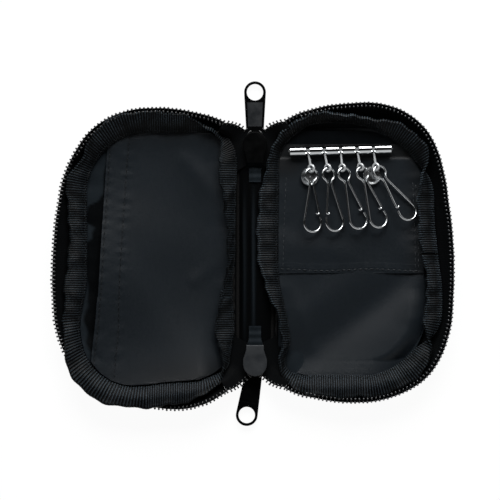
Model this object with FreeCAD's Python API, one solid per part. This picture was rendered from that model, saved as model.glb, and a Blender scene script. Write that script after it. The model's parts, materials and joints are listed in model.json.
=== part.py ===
import FreeCAD, Part
import math
import os

# Zip-around key case, laid open with the lining up, in millimetres.
# Origin at the middle of the case on the table, +X to the half with the key bar, +Y to the top slider.

Vec = FreeCAD.Vector
UP = Vec(0, 0, 1)

# Spine and halves
spine_width = 16.0
panel_length = 100.0
panel_width = 61.0
outer_corner_share = 0.4262
spine_corner_share = 0.2295
panel_thick = 1.2
lining_thick = 0.4
lining_inset = 0.6
fold_height = 1.0
fold_clearance = 0.5
layer_gap = 0.1
rim_clearance = 0.25
overrun = 1.0

# Stations round one half, from the spine's middle to the outer side's middle, then mirrored
spine_shares = (0, 0.33, 0.67, 0.85, 1)
spine_corner_angles = (165, 150, 135, 120, 105, 90)
end_shares = (0.33, 0.67, 1)
outer_corner_angles = (75, 60, 45, 30, 15, 0)
side_shares = (0.5, 0)
skipped_station_count = 8

# Zip wall and teeth
tape_thick = 0.6
tape_gap = 0.4
splay = 10.0
left_overhang_shares = (
    0.47, 0.46, 0.52, 0.64, 0.72, 0.73, 0.73, 0.74, 0.72, 0.66, 0.7, 0.79, 0.94, 1.02,
    1.02, 0.99, 1, 1.04, 1.14, 1.14, 1.06, 1.08, 1.08, 1.04, 0.92, 0.74, 0.66,
)
right_overhang_shares = (
    0.5, 0.55, 0.68, 0.84, 0.92, 0.97, 0.97, 0.97, 0.89, 0.74, 0.64, 0.67, 0.82, 0.9,
    0.9, 0.87, 0.79, 0.82, 0.86, 0.8, 0.77, 0.81, 0.81, 0.73, 0.61, 0.56, 0.57,
)
tooth_pitch = 1.6
tooth_row_width = 2.0
tooth_back = 0.9
tooth_thick = 1.7
tooth_land_shares = (0.15, 0.30, 0.70, 0.85)
tooth_back_every = 4

# Limp zip ends beside the sliders
zip_end_shares = (0.05, 0.28, 0.52, 0.76, 1)
zip_end_last_angle = 154.0
zip_end_seam_z = 2.4
zip_end_mouth_x = 3.6

# Binding
binding_width = 8.0
binding_thick = 0.8
binding_inset = 1.4
binding_join = 0.5
left_binding_out_shares = (
    -0.54, -0.54, -0.57, -0.49, -0.36, -0.3, -0.29, -0.27, -0.28, 0.24, 0.49, 0.62, 0.72, 0.73, 0.73, 0.74,
    0.72, 0.49, 0.69, 0.8, 0.8, 0.82, 1.05, 1.05, 1.06, 1.11, 1.23, 1.23, 1.13, 1.16, 1.16, 1.11,
    0.96, 0.74, -0.28, -0.27, -0.29, -0.3, -0.36, -0.49, -0.57, -0.54, -0.54,
)
left_binding_rise_shares = (
    0.55, 0.55, 0.52, 0.32, 0.14, 0.12, 0.11, 0.15, 0.37, 0.74, 0.74, 0.7, 0.7, 0.7, 0.7, 0.7,
    0.7, 0.74, 0.7, 0.7, 0.7, 0.7, 0.7, 0.7, 0.7, 0.7, 0.7, 0.7, 0.7, 0.7, 0.7, 0.7,
    0.7, 0.7, 0.37, 0.15, 0.11, 0.12, 0.14, 0.32, 0.52, 0.55, 0.55,
)
right_binding_out_shares = (
    -0.54, -0.54, -0.57, -0.49, -0.36, -0.3, -0.29, -0.27, -0.28, 0.51, 0.66, 0.86, 0.93, 0.68, 0.7, 0.9,
    0.93, 0.74, 0.28, 0.12, 0.1, 0.12, 0.3, 0.2, 0.25, 0.84, 0.89, 0.82, 0.78, 0.83, 0.83, 0.73,
    0.59, 0.52, -0.28, -0.27, -0.29, -0.3, -0.36, -0.49, -0.57, -0.54, -0.54,
)
right_binding_rise_shares = (
    0.55, 0.55, 0.52, 0.32, 0.14, 0.12, 0.11, 0.15, 0.37, 0.7, 0.7, 0.7, 0.7, 0.7, 0.7, 0.7,
    0.7, 0.7, 0.74, 0.74, 0.74, 0.74, 0.74, 0.74, 0.74, 0.7, 0.7, 0.7, 0.7, 0.7, 0.7, 0.7,
    0.7, 0.7, 0.37, 0.15, 0.11, 0.12, 0.14, 0.32, 0.52, 0.55, 0.55,
)

# Spine strip, its lining and the tape end tabs
spine_thick = 0.9
spine_rise = 2.0
spine_lift = 0.15
spine_lining_margin = 1.2
tab_width = 5.4
tab_length = 7.0
tab_thick = 0.7
tab_clearance = 0.6

# Left pocket, sewn on three sides and open at its hem
sheet_inset = 5.0
pocket_reach_share = 0.877
pocket_thick = 0.6
pocket_rise = 5.2
pocket_place_shares = (1, 0.78, 0.54, 0.30, 0)
pocket_rise_shares = (1, 0.90, 0.64, 0.32, 0.03)

# Right half's lower fabric and key panel
lower_thick = 0.5
lower_edge_share = -0.06
key_panel_thick = 0.6
key_panel_edge_share = -0.152
key_panel_top_margin = 6.0
hem_width = 3.2
hem_extra = 0.3

# Key bar and rod
bar_place_share = 0.4295
bar_top_margin = 8.5
bar_tilt_angle = 1.5
bar_length_share = 0.6623
bar_radius = 1.85
bar_wall = 0.3
bar_end_wall = 0.6
bar_web = 0.95
slot_width = 1.8
slot_pitch = 6.56
key_count = 5
rod_radius = 0.5
rod_overhang = 0.6

# Links, from the rod to the middle of the end eye
link_length = 7.1
link_wire_radius = 0.4
link_collar_radius = 1.1
link_collar_width = 0.8
link_eye_radius = 1.3
link_twist_angle = 40.0
link_lean_angles = (10, 10, 4, 10, 7)
link_clearance = 0.07

# Hooks, bent from one wire
hook_wire_radius = 0.45
hook_bulb_radius = 2.6
hook_neck_gap = 1.6
hook_neck_radius = 2.5
hook_length = 21.6
hook_bow_radius = 3.8
hook_gate_share = 0.76
hook_tip_radius = 0.6
hook_latch_gap = 0.5
hook_tilt_angle = 25.0
hook_droop_angle = 0.8
hook_side_room = 9.6
hook_fan_shares = (0, 0.18, 0.46, 0.52, 1)
hook_latch_sides = (1, -1, 1, 1, -1)

# Sliders
slider_inset = 13.6
slider_length = 12.4
slider_width = 9.5
slider_rear_width = 7.0
slider_straight_share = 0.15
slider_widest_share = 0.46
slider_middle_z = 4.3
slider_mouth = 2.4
slider_plate = 0.9
slider_lip_width = 0.8
slider_lip_height = 0.65
slider_edge_round = 0.3
post_start_share = 0.42
post_middle_share = 0.66
post_end_share = 0.92
post_half_width = 1.6
post_front_half_width = 0.9

# Pull lug under each slider
lug_width = 2.0
lug_rear = 2.0
lug_front = 1.6
lug_wall = 0.4
lug_round = 0.5
pivot_place_share = 0.694
pivot_z = 1.3
pivot_hole_radius = 0.75

# Pull tabs
pull_bar_radius = 0.5
pull_length = 24.2
pull_thick = 1.1
pull_base_width = 7.0
pull_width = 8.7
pull_hole_radius = 3.3
pull_window_half = 1.45
pull_window_length = 3.2
pull_shoulder = 4.2
pull_recess_depth = 0.25
pull_recess_border = 0.9
pull_recess_start = 6.2
pull_recess_end = 14.8
pull_yaw_angles = (0.0, 9.6)

# Levels worked out from the sizes above
spine_half = spine_width / 2
half_length = panel_length / 2
outer_corner = panel_width * outer_corner_share
spine_corner = panel_width * spine_corner_share
lining_top = panel_thick + lining_thick
sheet_bottom = lining_top + layer_gap
key_panel_bottom = sheet_bottom + lower_thick + layer_gap
key_panel_top = key_panel_bottom + key_panel_thick
bar_x = spine_half + panel_width * bar_place_share
bar_y = half_length - bar_top_margin
bar_z = key_panel_top + layer_gap + bar_radius
bar_length = panel_width * bar_length_share
rim_top = fold_height + spine_half - rim_clearance
slider_rear_y = half_length - slider_inset
slider_front_y = slider_rear_y + slider_length
pivot_y = slider_rear_y + slider_length * pivot_place_share
spine_end_y = slider_rear_y - tab_clearance


def polar(radius, angle):
    turn = math.radians(angle)
    return Vec(radius * math.cos(turn), radius * math.sin(turn), 0)


def mirror_x(shape):
    return shape.mirror(Vec(0, 0, 0), Vec(1, 0, 0))


def mirror_y(shape):
    return shape.mirror(Vec(0, 0, 0), Vec(0, 1, 0))


def prism(wire, bottom, height):
    face = Part.Face(wire)
    face.translate(UP * bottom)
    return face.extrude(UP * height)


def block(x_range, y_range, z_range):
    size = [span[1] - span[0] for span in (x_range, y_range, z_range)]
    return Part.makeBox(*size, Vec(x_range[0], y_range[0], z_range[0]))


def polygon(points):
    return Part.makePolygon(list(points) + [points[0]])


def rounded_wire(corners):
    """Closed wire of quarter arcs joined by straight edges, from (centre, radius, first angle) corners."""
    arcs = []
    for centre, radius, first in corners:
        arcs.append([centre + polar(radius, first + turn) for turn in (0, 45, 90)])
    edges = []
    for arc, following in zip(arcs, arcs[1:] + arcs[:1]):
        edges.append(Part.Arc(*arc).toShape())
        edges.append(Part.makeLine(arc[2], following[0]))
    return Part.Wire(edges)


def half_outline(inset):
    """Outline of the right half's panel, drawn in by inset."""
    small = spine_corner - inset
    large = outer_corner - inset
    near = spine_half + spine_corner
    far = spine_half + panel_width - outer_corner
    near_y = half_length - spine_corner
    far_y = half_length - outer_corner
    return rounded_wire((
        (Vec(far, -far_y, 0), large, 270),
        (Vec(far, far_y, 0), large, 0),
        (Vec(near, near_y, 0), small, 90),
        (Vec(near, -near_y, 0), small, 180),
    ))


def half_stations():
    """Seam points of the right half with their outward angles, from the spine to the outer side."""
    near = Vec(spine_half + spine_corner, half_length - spine_corner, 0)
    far = Vec(spine_half + panel_width - outer_corner, half_length - outer_corner, 0)
    stations = [(Vec(spine_half, near.y * share, 0), 180) for share in spine_shares]
    stations += [(near + polar(spine_corner, angle), angle) for angle in spine_corner_angles]
    stations += [(Vec(near.x + (far.x - near.x) * share, half_length, 0), 90) for share in end_shares]
    stations += [(far + polar(outer_corner, angle), angle) for angle in outer_corner_angles]
    stations += [(Vec(spine_half + panel_width, far.y * share, 0), 0) for share in side_shares]
    return stations


def loop_stations():
    """Stations of the whole loop: over the top to the outer side's middle, then back below."""
    upper = half_stations()
    return upper + [(Vec(point.x, -point.y, 0), -angle) for point, angle in reversed(upper[:-1])]


def wall_stations(overhang_shares):
    """Seam point, outward angle and overhang at each station that the zip wall passes."""
    rows = []
    for (point, angle), share in zip(loop_stations()[skipped_station_count:], overhang_shares):
        rows.append((point, angle, splay * share))
    return rows


def wall_edges(point, angle, overhang):
    """Foot and head of the zip wall at one station, on its inner face."""
    out = polar(1, angle)
    foot = point + out * tape_gap + UP * fold_height
    reach = overhang - tooth_row_width / 2 - tape_thick - layer_gap
    head = point + out * reach + UP * (rim_top - tooth_thick / 2)
    return foot, head


def zip_wall(overhang_shares):
    sections = []
    for point, angle, overhang in wall_stations(overhang_shares):
        foot, head = wall_edges(point, angle, overhang)
        lean = (head - foot).normalize()
        out = polar(1, angle)
        across = (out * lean.z - UP * lean.dot(out)) * tape_thick
        sections.append(polygon((foot, foot + across, head + across, head)))
    return Part.makeLoft(sections, True, True)


def teeth_row(overhang_shares):
    """Row of teeth along the rim, one comb with a solid back."""
    rim = Part.BSplineCurve()
    stations = wall_stations(overhang_shares)
    rim.interpolate([point + polar(overhang, angle) for point, angle, overhang in stations])
    length = rim.length()
    count = int(length / tooth_pitch)
    step = length / count

    def beside(distance, offset):
        at = rim.parameterAtDistance(distance, rim.FirstParameter)
        out = UP.cross(rim.tangent(at)[0]).normalize()
        return rim.value(at) + out * (offset - tooth_row_width / 2)

    offsets = (tooth_back, tooth_row_width, tooth_row_width, tooth_back)
    front = []
    for tooth in range(count):
        for share, offset in zip(tooth_land_shares, offsets):
            front.append(beside((tooth + share) * step, offset))
    back = [beside(tooth * step, 0) for tooth in range(0, count, tooth_back_every)]
    back.append(beside(length, 0))
    return prism(polygon(front + back[::-1]), rim_top - tooth_thick, tooth_thick)


def zip_end(overhang_share):
    """Limp tape round the panel's corner, from the right wall's top end to the top slider's mouth."""
    point, angle, overhang = wall_stations([overhang_share])[0]
    head = wall_edges(point, angle, overhang)[1]
    corner = Vec(spine_half + spine_corner, half_length - spine_corner, 0)
    mouth_end = Vec(zip_end_mouth_x, slider_front_y, slider_middle_z)
    sections = []
    for share in zip_end_shares:
        turn = angle + (zip_end_last_angle - angle) * share
        rise = fold_height + (zip_end_seam_z - fold_height) * share
        seam = corner + polar(spine_corner + tape_gap, turn) + UP * rise
        rim = head + (mouth_end - head) * share
        drop = UP * -tape_thick
        sections.append(polygon((seam, seam + drop, rim + drop, rim)))
    return Part.makeLoft(sections, True, True)


def binding(out_shares, rise_shares):
    """Ribbon round the half, sewn down along its foot, with its ends meeting beside the spine."""
    stations = loop_stations()
    stations[0] = (stations[0][0] + Vec(0, binding_join / 2, 0), stations[0][1])
    stations[-1] = (stations[-1][0] - Vec(0, binding_join / 2, 0), stations[-1][1])
    sections = []
    for (point, angle), out_share, rise_share in zip(stations, out_shares, rise_shares):
        out = polar(1, angle)
        foot = point - out * binding_inset + UP * (lining_top + layer_gap + binding_thick / 2)
        band = (out * out_share + UP * rise_share) * binding_width
        lean = Vec(band).normalize()
        half = (out * lean.z - UP * lean.dot(out)) * (binding_thick / 2)
        head = foot + band
        sections.append(polygon((foot - half, foot + half, head + half, head - half)))
    return Part.makeLoft(sections, True, True)


def outer_panel():
    return prism(half_outline(0), 0, panel_thick)


def lining():
    return prism(half_outline(lining_inset), panel_thick, lining_thick)


def arch_wire(place, half_span, foot, rise, thick):
    """Arched strip section across Y at X = place."""
    low = Part.Arc(Vec(place, -half_span, foot), Vec(place, 0, foot + rise), Vec(place, half_span, foot))
    top = foot + thick
    high = Part.Arc(Vec(place, half_span, top), Vec(place, 0, top + rise), Vec(place, -half_span, top))
    sides = [Part.makeLine(low.EndPoint, high.StartPoint), Part.makeLine(high.EndPoint, low.StartPoint)]
    return Part.Wire([low.toShape(), sides[0], high.toShape(), sides[1]])


def gaping_pocket():
    """Pocket sheet drawn for the right half: sewn down on three sides, bowed up at its mouth."""
    near = spine_half + sheet_inset
    run = spine_half + panel_width * pocket_reach_share - near
    half_span = half_length - sheet_inset
    sections = []
    for place, rise in zip(pocket_place_shares, pocket_rise_shares):
        height = pocket_rise * rise
        sections.append(arch_wire(near + run * place, half_span, sheet_bottom, height, pocket_thick))
    sheet = Part.makeLoft(sections, True, False)
    return sheet.common(prism(half_outline(sheet_inset), 0, rim_top))


def right_sheet(bottom, thick, low_y, high_y):
    strip = block((0, spine_half + panel_width), (low_y, high_y), (bottom, bottom + thick))
    return strip.common(prism(half_outline(sheet_inset), bottom - overrun, thick + 2 * overrun))


def right_pocket():
    return right_sheet(sheet_bottom, lower_thick, -half_length, half_length * lower_edge_share)


def key_panel():
    edge_y = half_length * key_panel_edge_share
    sheet = right_sheet(key_panel_bottom, key_panel_thick, edge_y, half_length - key_panel_top_margin)
    hem = right_sheet(key_panel_top, hem_extra, edge_y, edge_y + hem_width)
    return sheet.fuse(hem).removeSplitter()


def spine_arch(half_width, lift, thick):
    """Arched strip along the spine."""
    share = half_width / (spine_half - fold_clearance)
    foot = lift + spine_rise * (1 - share * share)
    section = arch_wire(0, half_width, foot, spine_rise * share * share, thick)
    section.rotate(Vec(0, 0, 0), UP, 90)
    section.translate(Vec(0, -spine_end_y, 0))
    return Part.Face(section).extrude(Vec(0, 2 * spine_end_y, 0))


def spine_panel():
    return spine_arch(spine_half - fold_clearance, spine_lift, spine_thick)


def spine_lining():
    half_width = spine_half - fold_clearance - spine_lining_margin
    return spine_arch(half_width, spine_lift + spine_thick + layer_gap, lining_thick)


def end_tab():
    bottom = spine_lift + spine_rise + spine_thick + lining_thick + 2 * layer_gap
    half = tab_width / 2
    return block((-half, half), (spine_end_y - tab_length, spine_end_y), (bottom, bottom + tab_thick))


def on_bar(shape):
    """Moves a shape from the bar's own frame, with the rod along X, to its place."""
    shape.rotate(Vec(0, 0, 0), UP, bar_tilt_angle)
    shape.translate(Vec(bar_x, bar_y, bar_z))
    return shape


def slot_places():
    return [slot_pitch * (key - (key_count - 1) / 2) for key in range(key_count)]


def key_bar():
    """Slotted tube with a disc in each end that holds the rod."""
    along = Vec(1, 0, 0)
    start = Vec(-bar_length / 2, 0, 0)
    bar = Part.makeCylinder(bar_radius, bar_length, start, along)
    hollow = bar_length - 2 * bar_end_wall
    bar = bar.cut(Part.makeCylinder(bar_radius - bar_wall, hollow, start + along * bar_end_wall, along))
    bar = bar.cut(Part.makeCylinder(rod_radius, bar_length + 2 * overrun, start - along * overrun, along))
    reach = bar_radius + overrun
    for place in slot_places():
        span = (place - slot_width / 2, place + slot_width / 2)
        bar = bar.cut(block(span, (-reach, reach), (-bar_web, reach)))
    return on_bar(bar)


def key_rod():
    length = bar_length + 2 * rod_overhang
    return on_bar(Part.makeCylinder(rod_radius, length, Vec(-length / 2, 0, 0), Vec(1, 0, 0)))


def key_link(place, lean):
    """Collar on the rod, a leaning shank and a twisted end eye."""
    along = Vec(1, 0, 0)
    start = Vec(-link_collar_width / 2, 0, 0)
    hole_length = link_collar_width + 2 * overrun
    hole = Part.makeCylinder(rod_radius + link_clearance, hole_length, start - along * overrun, along)
    shank_start = (link_collar_radius + rod_radius) / 2
    shank_run = link_length - link_eye_radius - shank_start
    arm = Part.makeCylinder(link_wire_radius, shank_run, Vec(0, -shank_start, 0), Vec(0, -1, 0))
    twist = math.radians(link_twist_angle)
    eye_axis = Vec(-math.sin(twist), 0, math.cos(twist))
    arm = arm.fuse(Part.makeTorus(link_eye_radius, link_wire_radius, Vec(0, -link_length, 0), eye_axis))
    arm.rotate(Vec(0, 0, 0), UP, lean)
    link = Part.makeCylinder(link_collar_radius, link_collar_width, start, along).fuse(arm).cut(hole)
    link.translate(along * place)
    return on_bar(link)


def tangent_direction(offset, radius):
    """Direction of a line whose far circle, at offset, lies radius to the left of it."""
    return math.atan2(offset.y, offset.x) - math.asin(radius / offset.Length)


def hook_path():
    """Wire's middle line, flat on XY with the top of the bulb at the origin and the hook along -Y.
    The gate leg ends in a small curl above the end of the bow, which catches it."""
    bulb = Vec(0, -hook_bulb_radius, 0)
    neck_x = hook_neck_gap / 2 + hook_neck_radius
    reach = hook_bulb_radius + hook_neck_radius
    neck_y = bulb.y - math.sqrt(reach * reach - neck_x * neck_x)
    bow = Vec(0, -hook_length, 0)
    left = Vec(-neck_x, neck_y, 0)
    right = Vec(neck_x, neck_y, 0)

    leg_turn = math.degrees(tangent_direction(bow - left, hook_neck_radius + hook_bow_radius))
    leg_top = left + polar(hook_neck_radius, leg_turn + 90)
    leg_foot = bow - polar(hook_bow_radius, leg_turn + 90)
    gate_top = Vec(-leg_top.x, leg_top.y, 0)
    gate_foot = Vec(-leg_foot.x, leg_foot.y, 0)
    gate = gate_foot - gate_top
    down = Vec(gate).normalize()
    inward = Vec(down.y, -down.x, 0)

    gate_end = gate_top + gate * hook_gate_share
    tip_low = gate_end + (down + inward) * hook_tip_radius
    tip_end = gate_end + inward * (2 * hook_tip_radius)
    catch_drop = gate.Length * hook_gate_share + hook_tip_radius + 2 * hook_wire_radius + hook_latch_gap
    catch_end = gate_top + down * catch_drop

    join_share = hook_bulb_radius / reach
    left_join = bulb + (left - bulb) * join_share
    right_join = bulb + (right - bulb) * join_share
    neck_face = Vec(hook_neck_radius, 0, 0)
    return Part.Wire([
        Part.Arc(tip_end, tip_low, gate_end).toShape(),
        Part.makeLine(gate_end, gate_top),
        Part.Arc(gate_top, right - neck_face, right_join).toShape(),
        Part.Arc(right_join, Vec(0, 0, 0), left_join).toShape(),
        Part.Arc(left_join, left + neck_face, leg_top).toShape(),
        Part.makeLine(leg_top, leg_foot),
        Part.Arc(leg_foot, bow - Vec(0, hook_bow_radius, 0), gate_foot).toShape(),
        Part.makeLine(gate_foot, catch_end),
    ])


def last_fan_angle():
    """How far the last hook fans out before it nears the binding."""
    room = panel_width * (1 - bar_place_share) - slot_places()[-1] - hook_side_room
    return math.degrees(math.asin(room / hook_length))


def key_hook(place, lean, fan, latch_side):
    path = hook_path()
    start = path.OrderedEdges[0]
    direction = start.tangentAt(start.FirstParameter)
    section = Part.Wire(Part.makeCircle(hook_wire_radius, start.valueAt(start.FirstParameter), direction))
    hook = path.makePipeShell([section], True, False)
    if latch_side < 0:
        hook = mirror_x(hook)
    hook.rotate(Vec(0, 0, 0), Vec(0, 1, 0), hook_tilt_angle)
    hook.rotate(Vec(0, 0, 0), Vec(1, 0, 0), -hook_droop_angle)
    hook.rotate(Vec(0, 0, 0), UP, fan)
    hook.translate(Vec(place, 0, 0) + polar(link_length, lean - 90))
    return on_bar(hook)


def slider_outline(inset):
    """Plate outline of the top slider: narrow flat rear, round front."""
    half = slider_width / 2 - inset
    rear = slider_rear_width / 2 - inset
    rear_y = slider_rear_y + inset
    straight_y = slider_rear_y + slider_length * slider_straight_share
    widest_y = slider_rear_y + slider_length * slider_widest_share
    front_y = slider_front_y - inset
    round_y = front_y - half
    right = [Vec(rear, rear_y, 0), Vec(rear, straight_y, 0), Vec(half, widest_y, 0), Vec(half, round_y, 0)]
    left = [Vec(-point.x, point.y, 0) for point in reversed(right)]
    edges = [Part.makeLine(*pair) for pair in zip(right, right[1:])]
    edges.append(Part.Arc(right[-1], Vec(0, front_y, 0), left[0]).toShape())
    edges += [Part.makeLine(*pair) for pair in zip(left, left[1:])]
    edges.append(Part.makeLine(left[-1], right[0]))
    return Part.Wire(edges)


def rounded_plate(outline, bottom, thick, outer_z, radius):
    """Plate with its edge rounded on the face at outer_z."""
    plate = prism(outline, bottom, thick)
    rim = [edge for edge in plate.Edges if all(abs(v.Z - outer_z) < thick / 2 for v in edge.Vertexes)]
    return plate.makeFillet(radius, rim)


def slider_lips(bottom):
    """Raised sides of one plate, which guide the teeth behind the post."""
    ring = prism(slider_outline(0), bottom, slider_lip_height)
    inside = slider_outline(slider_lip_width)
    ring = ring.cut(prism(inside, bottom - overrun, slider_lip_height + 2 * overrun))
    lip_end = slider_rear_y + slider_length * post_start_share
    half = slider_width / 2 + overrun
    channel = slider_rear_width / 2 - slider_lip_width
    lips = ring.common(block((-half, half), (slider_rear_y, lip_end), (bottom, bottom + slider_lip_height)))
    rear = slider_rear_y - overrun
    return lips.cut(block((-channel, channel), (rear, lip_end), (bottom, bottom + slider_lip_height)))


def slider_post():
    """Wedge between the plates that parts the two rows of teeth."""
    start_y = slider_rear_y + slider_length * post_start_share
    middle_y = slider_rear_y + slider_length * post_middle_share
    end_y = slider_rear_y + slider_length * post_end_share
    points = (
        Vec(0, start_y, 0), Vec(post_half_width, middle_y, 0), Vec(post_front_half_width, end_y, 0),
        Vec(-post_front_half_width, end_y, 0), Vec(-post_half_width, middle_y, 0),
    )
    return prism(polygon(points), slider_middle_z - slider_mouth / 2, slider_mouth)


def pull_lug(top):
    """Lug under the slider with a cross hole for the pull's bar."""
    low = pivot_z - pivot_hole_radius - lug_wall
    lug = block((-lug_width / 2, lug_width / 2), (pivot_y - lug_rear, pivot_y + lug_front), (low, top))
    lower = [edge for edge in lug.Edges if all(abs(v.Z - low) < lug_wall for v in edge.Vertexes)]
    ends = [edge for edge in lower if abs(edge.tangentAt(edge.FirstParameter).x) > 0.5]
    lug = lug.makeFillet(lug_round, ends)
    reach = lug_width / 2 + overrun
    start = Vec(-reach, pivot_y, pivot_z)
    return lug.cut(Part.makeCylinder(pivot_hole_radius, 2 * reach, start, Vec(1, 0, 0)))


def slider():
    """Top slider: two plates with lips, the post between them and the lug below."""
    low_top = slider_middle_z - slider_mouth / 2
    high_bottom = slider_middle_z + slider_mouth / 2
    low = low_top - slider_plate
    high = high_bottom + slider_plate
    body = rounded_plate(slider_outline(0), low, slider_plate, low, slider_edge_round)
    body = body.fuse(rounded_plate(slider_outline(0), high_bottom, slider_plate, high, slider_edge_round))
    lips = [slider_lips(low_top), slider_lips(high_bottom - slider_lip_height)]
    return body.fuse(lips + [slider_post(), pull_lug(low)]).removeSplitter()


def pull_outline(inset):
    """Pull's outline from its bar to the ring, with the pivot at the origin and the tip along +Y."""
    base = pull_base_width / 2 - inset
    ring = pull_width / 2 - inset
    ring_y = pull_length - pull_width / 2
    right = [Vec(base, inset, 0), Vec(base, pull_shoulder, 0), Vec(ring, ring_y, 0)]
    left = [Vec(-point.x, point.y, 0) for point in reversed(right)]
    edges = [Part.makeLine(*pair) for pair in zip(right, right[1:])]
    edges.append(Part.Arc(right[-1], Vec(0, ring_y + ring, 0), left[0]).toShape())
    edges += [Part.makeLine(*pair) for pair in zip(left, left[1:])]
    edges.append(Part.makeLine(left[-1], right[0]))
    return Part.Wire(edges)


def pull_tab(yaw):
    """Flat tab with a ring at its tip, a window round the lug and a cross bar at its base."""
    half = pull_thick / 2
    tab = prism(pull_outline(0), -half, pull_thick)
    ring_y = pull_length - pull_width / 2
    reach = half + overrun
    tab = tab.cut(Part.makeCylinder(pull_hole_radius, 2 * reach, Vec(0, ring_y, -reach)))
    window = (-pull_window_half, pull_window_half)
    tab = tab.cut(block(window, (-overrun, pull_window_length), (-reach, reach)))
    recess = prism(pull_outline(pull_recess_border), half - pull_recess_depth, pull_recess_depth + overrun)
    span = (-pull_width, pull_width)
    recess = recess.common(block(span, (pull_recess_start, pull_recess_end), (0, reach)))
    tab = tab.cut([recess, recess.mirror(Vec(0, 0, 0), UP)])
    start = Vec(-pull_base_width / 2, 0, 0)
    tab = tab.fuse(Part.makeCylinder(pull_bar_radius, pull_base_width, start, Vec(1, 0, 0)))
    tab.rotate(Vec(0, 0, 0), UP, yaw)
    tab.translate(Vec(0, pivot_y, pivot_z))
    return tab


def half_nodes(overhang_shares, out_shares, rise_shares):
    """Pieces that each half has, drawn for the right half."""
    return {
        "outer_panel": outer_panel(),
        "lining": lining(),
        "binding": binding(out_shares, rise_shares),
        "zip_tape": zip_wall(overhang_shares),
        "zip_teeth": teeth_row(overhang_shares),
        "top_zip_end": zip_end(overhang_shares[0]),
        "bottom_zip_end": mirror_y(zip_end(overhang_shares[-1])),
    }


def soft_nodes():
    nodes = {}
    right = half_nodes(right_overhang_shares, right_binding_out_shares, right_binding_rise_shares)
    left = half_nodes(left_overhang_shares, left_binding_out_shares, left_binding_rise_shares)
    for name in right:
        nodes["right_" + name] = right[name]
        nodes["left_" + name] = mirror_x(left[name])
    nodes["left_pocket"] = mirror_x(gaping_pocket())
    nodes["right_pocket"] = right_pocket()
    nodes["key_panel"] = key_panel()
    nodes["spine_panel"] = spine_panel()
    nodes["spine_lining"] = spine_lining()
    nodes["top_end_tab"] = end_tab()
    nodes["bottom_end_tab"] = mirror_y(end_tab())
    return nodes


def metal_nodes():
    nodes = {"key_bar": key_bar(), "key_rod": key_rod()}
    rows = zip(slot_places(), link_lean_angles, hook_fan_shares, hook_latch_sides)
    for number, (place, lean, share, latch_side) in enumerate(rows, 1):
        nodes[f"key_link_{number}"] = key_link(place, lean)
        nodes[f"key_hook_{number}"] = key_hook(place, lean, last_fan_angle() * share, latch_side)
    nodes["top_slider"] = slider()
    nodes["bottom_slider"] = mirror_y(slider())
    nodes["top_pull_tab"] = pull_tab(pull_yaw_angles[0])
    nodes["bottom_pull_tab"] = mirror_y(pull_tab(pull_yaw_angles[1]))
    return nodes


def main():
    os.makedirs("parts", exist_ok=True)
    for name, shape in {**soft_nodes(), **metal_nodes()}.items():
        shape.exportStep(f"parts/{name}.step")


main()
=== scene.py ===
import json
import math

import bmesh
import bpy
import numpy as np
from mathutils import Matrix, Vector

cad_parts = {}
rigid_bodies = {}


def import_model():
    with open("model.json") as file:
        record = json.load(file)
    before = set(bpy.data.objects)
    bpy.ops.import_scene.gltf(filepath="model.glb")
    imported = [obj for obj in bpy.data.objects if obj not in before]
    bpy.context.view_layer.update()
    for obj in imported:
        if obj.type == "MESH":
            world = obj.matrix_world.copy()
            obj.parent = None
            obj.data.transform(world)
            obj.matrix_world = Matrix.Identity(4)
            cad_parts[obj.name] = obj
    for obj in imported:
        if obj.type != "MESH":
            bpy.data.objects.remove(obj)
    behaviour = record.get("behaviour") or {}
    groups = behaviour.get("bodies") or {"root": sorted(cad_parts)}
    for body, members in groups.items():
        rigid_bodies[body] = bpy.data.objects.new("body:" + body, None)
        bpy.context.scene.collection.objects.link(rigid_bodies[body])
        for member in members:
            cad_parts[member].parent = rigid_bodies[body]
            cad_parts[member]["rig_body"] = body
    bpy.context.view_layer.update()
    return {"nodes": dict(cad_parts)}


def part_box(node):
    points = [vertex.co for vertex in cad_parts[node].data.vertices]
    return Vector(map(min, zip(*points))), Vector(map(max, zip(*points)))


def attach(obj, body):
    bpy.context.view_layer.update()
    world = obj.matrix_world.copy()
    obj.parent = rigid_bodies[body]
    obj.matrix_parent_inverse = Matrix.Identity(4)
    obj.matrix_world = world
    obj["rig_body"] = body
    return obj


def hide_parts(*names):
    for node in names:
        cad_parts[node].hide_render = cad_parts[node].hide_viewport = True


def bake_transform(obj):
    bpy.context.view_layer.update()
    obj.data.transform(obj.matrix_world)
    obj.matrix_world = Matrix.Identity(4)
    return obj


bl_info = {
    "name": "Zip-around key case",
    "version": (1, 0, 0),
    "blender": (4, 5, 0),
    "location": "3D View > Sidebar > Key case",
    "description": "Cloth, ribbon, coil zip and key hooks of an open key case around its packed frame",
    "category": "Object",
}

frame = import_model()

# Shapes are worked out in millimetres, with the lining up, and scaled to metres as they become meshes
MM = 0.001
SIGN = {"left": -1, "right": 1}
FLIP = {"top": 1, "bottom": -1}


def box_of(node):
    """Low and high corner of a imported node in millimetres."""
    return [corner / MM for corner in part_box(node)]


# The right half's outline, read from its packed panel
panel_low, panel_high = box_of("right_outer_panel")
SPINE_HALF = panel_low.x
PANEL_WIDTH = panel_high.x - panel_low.x
HALF_LENGTH = panel_high.y
PANEL_TOP = panel_high.z
SPINE_CORNER = 14.0
OUTER_CORNER = 26.0
RIM_TOP = box_of("right_zip_teeth")[1].z
# X of the middle that a half's cloth is drawn out from
HALF_MIDDLE = 40.0

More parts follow.
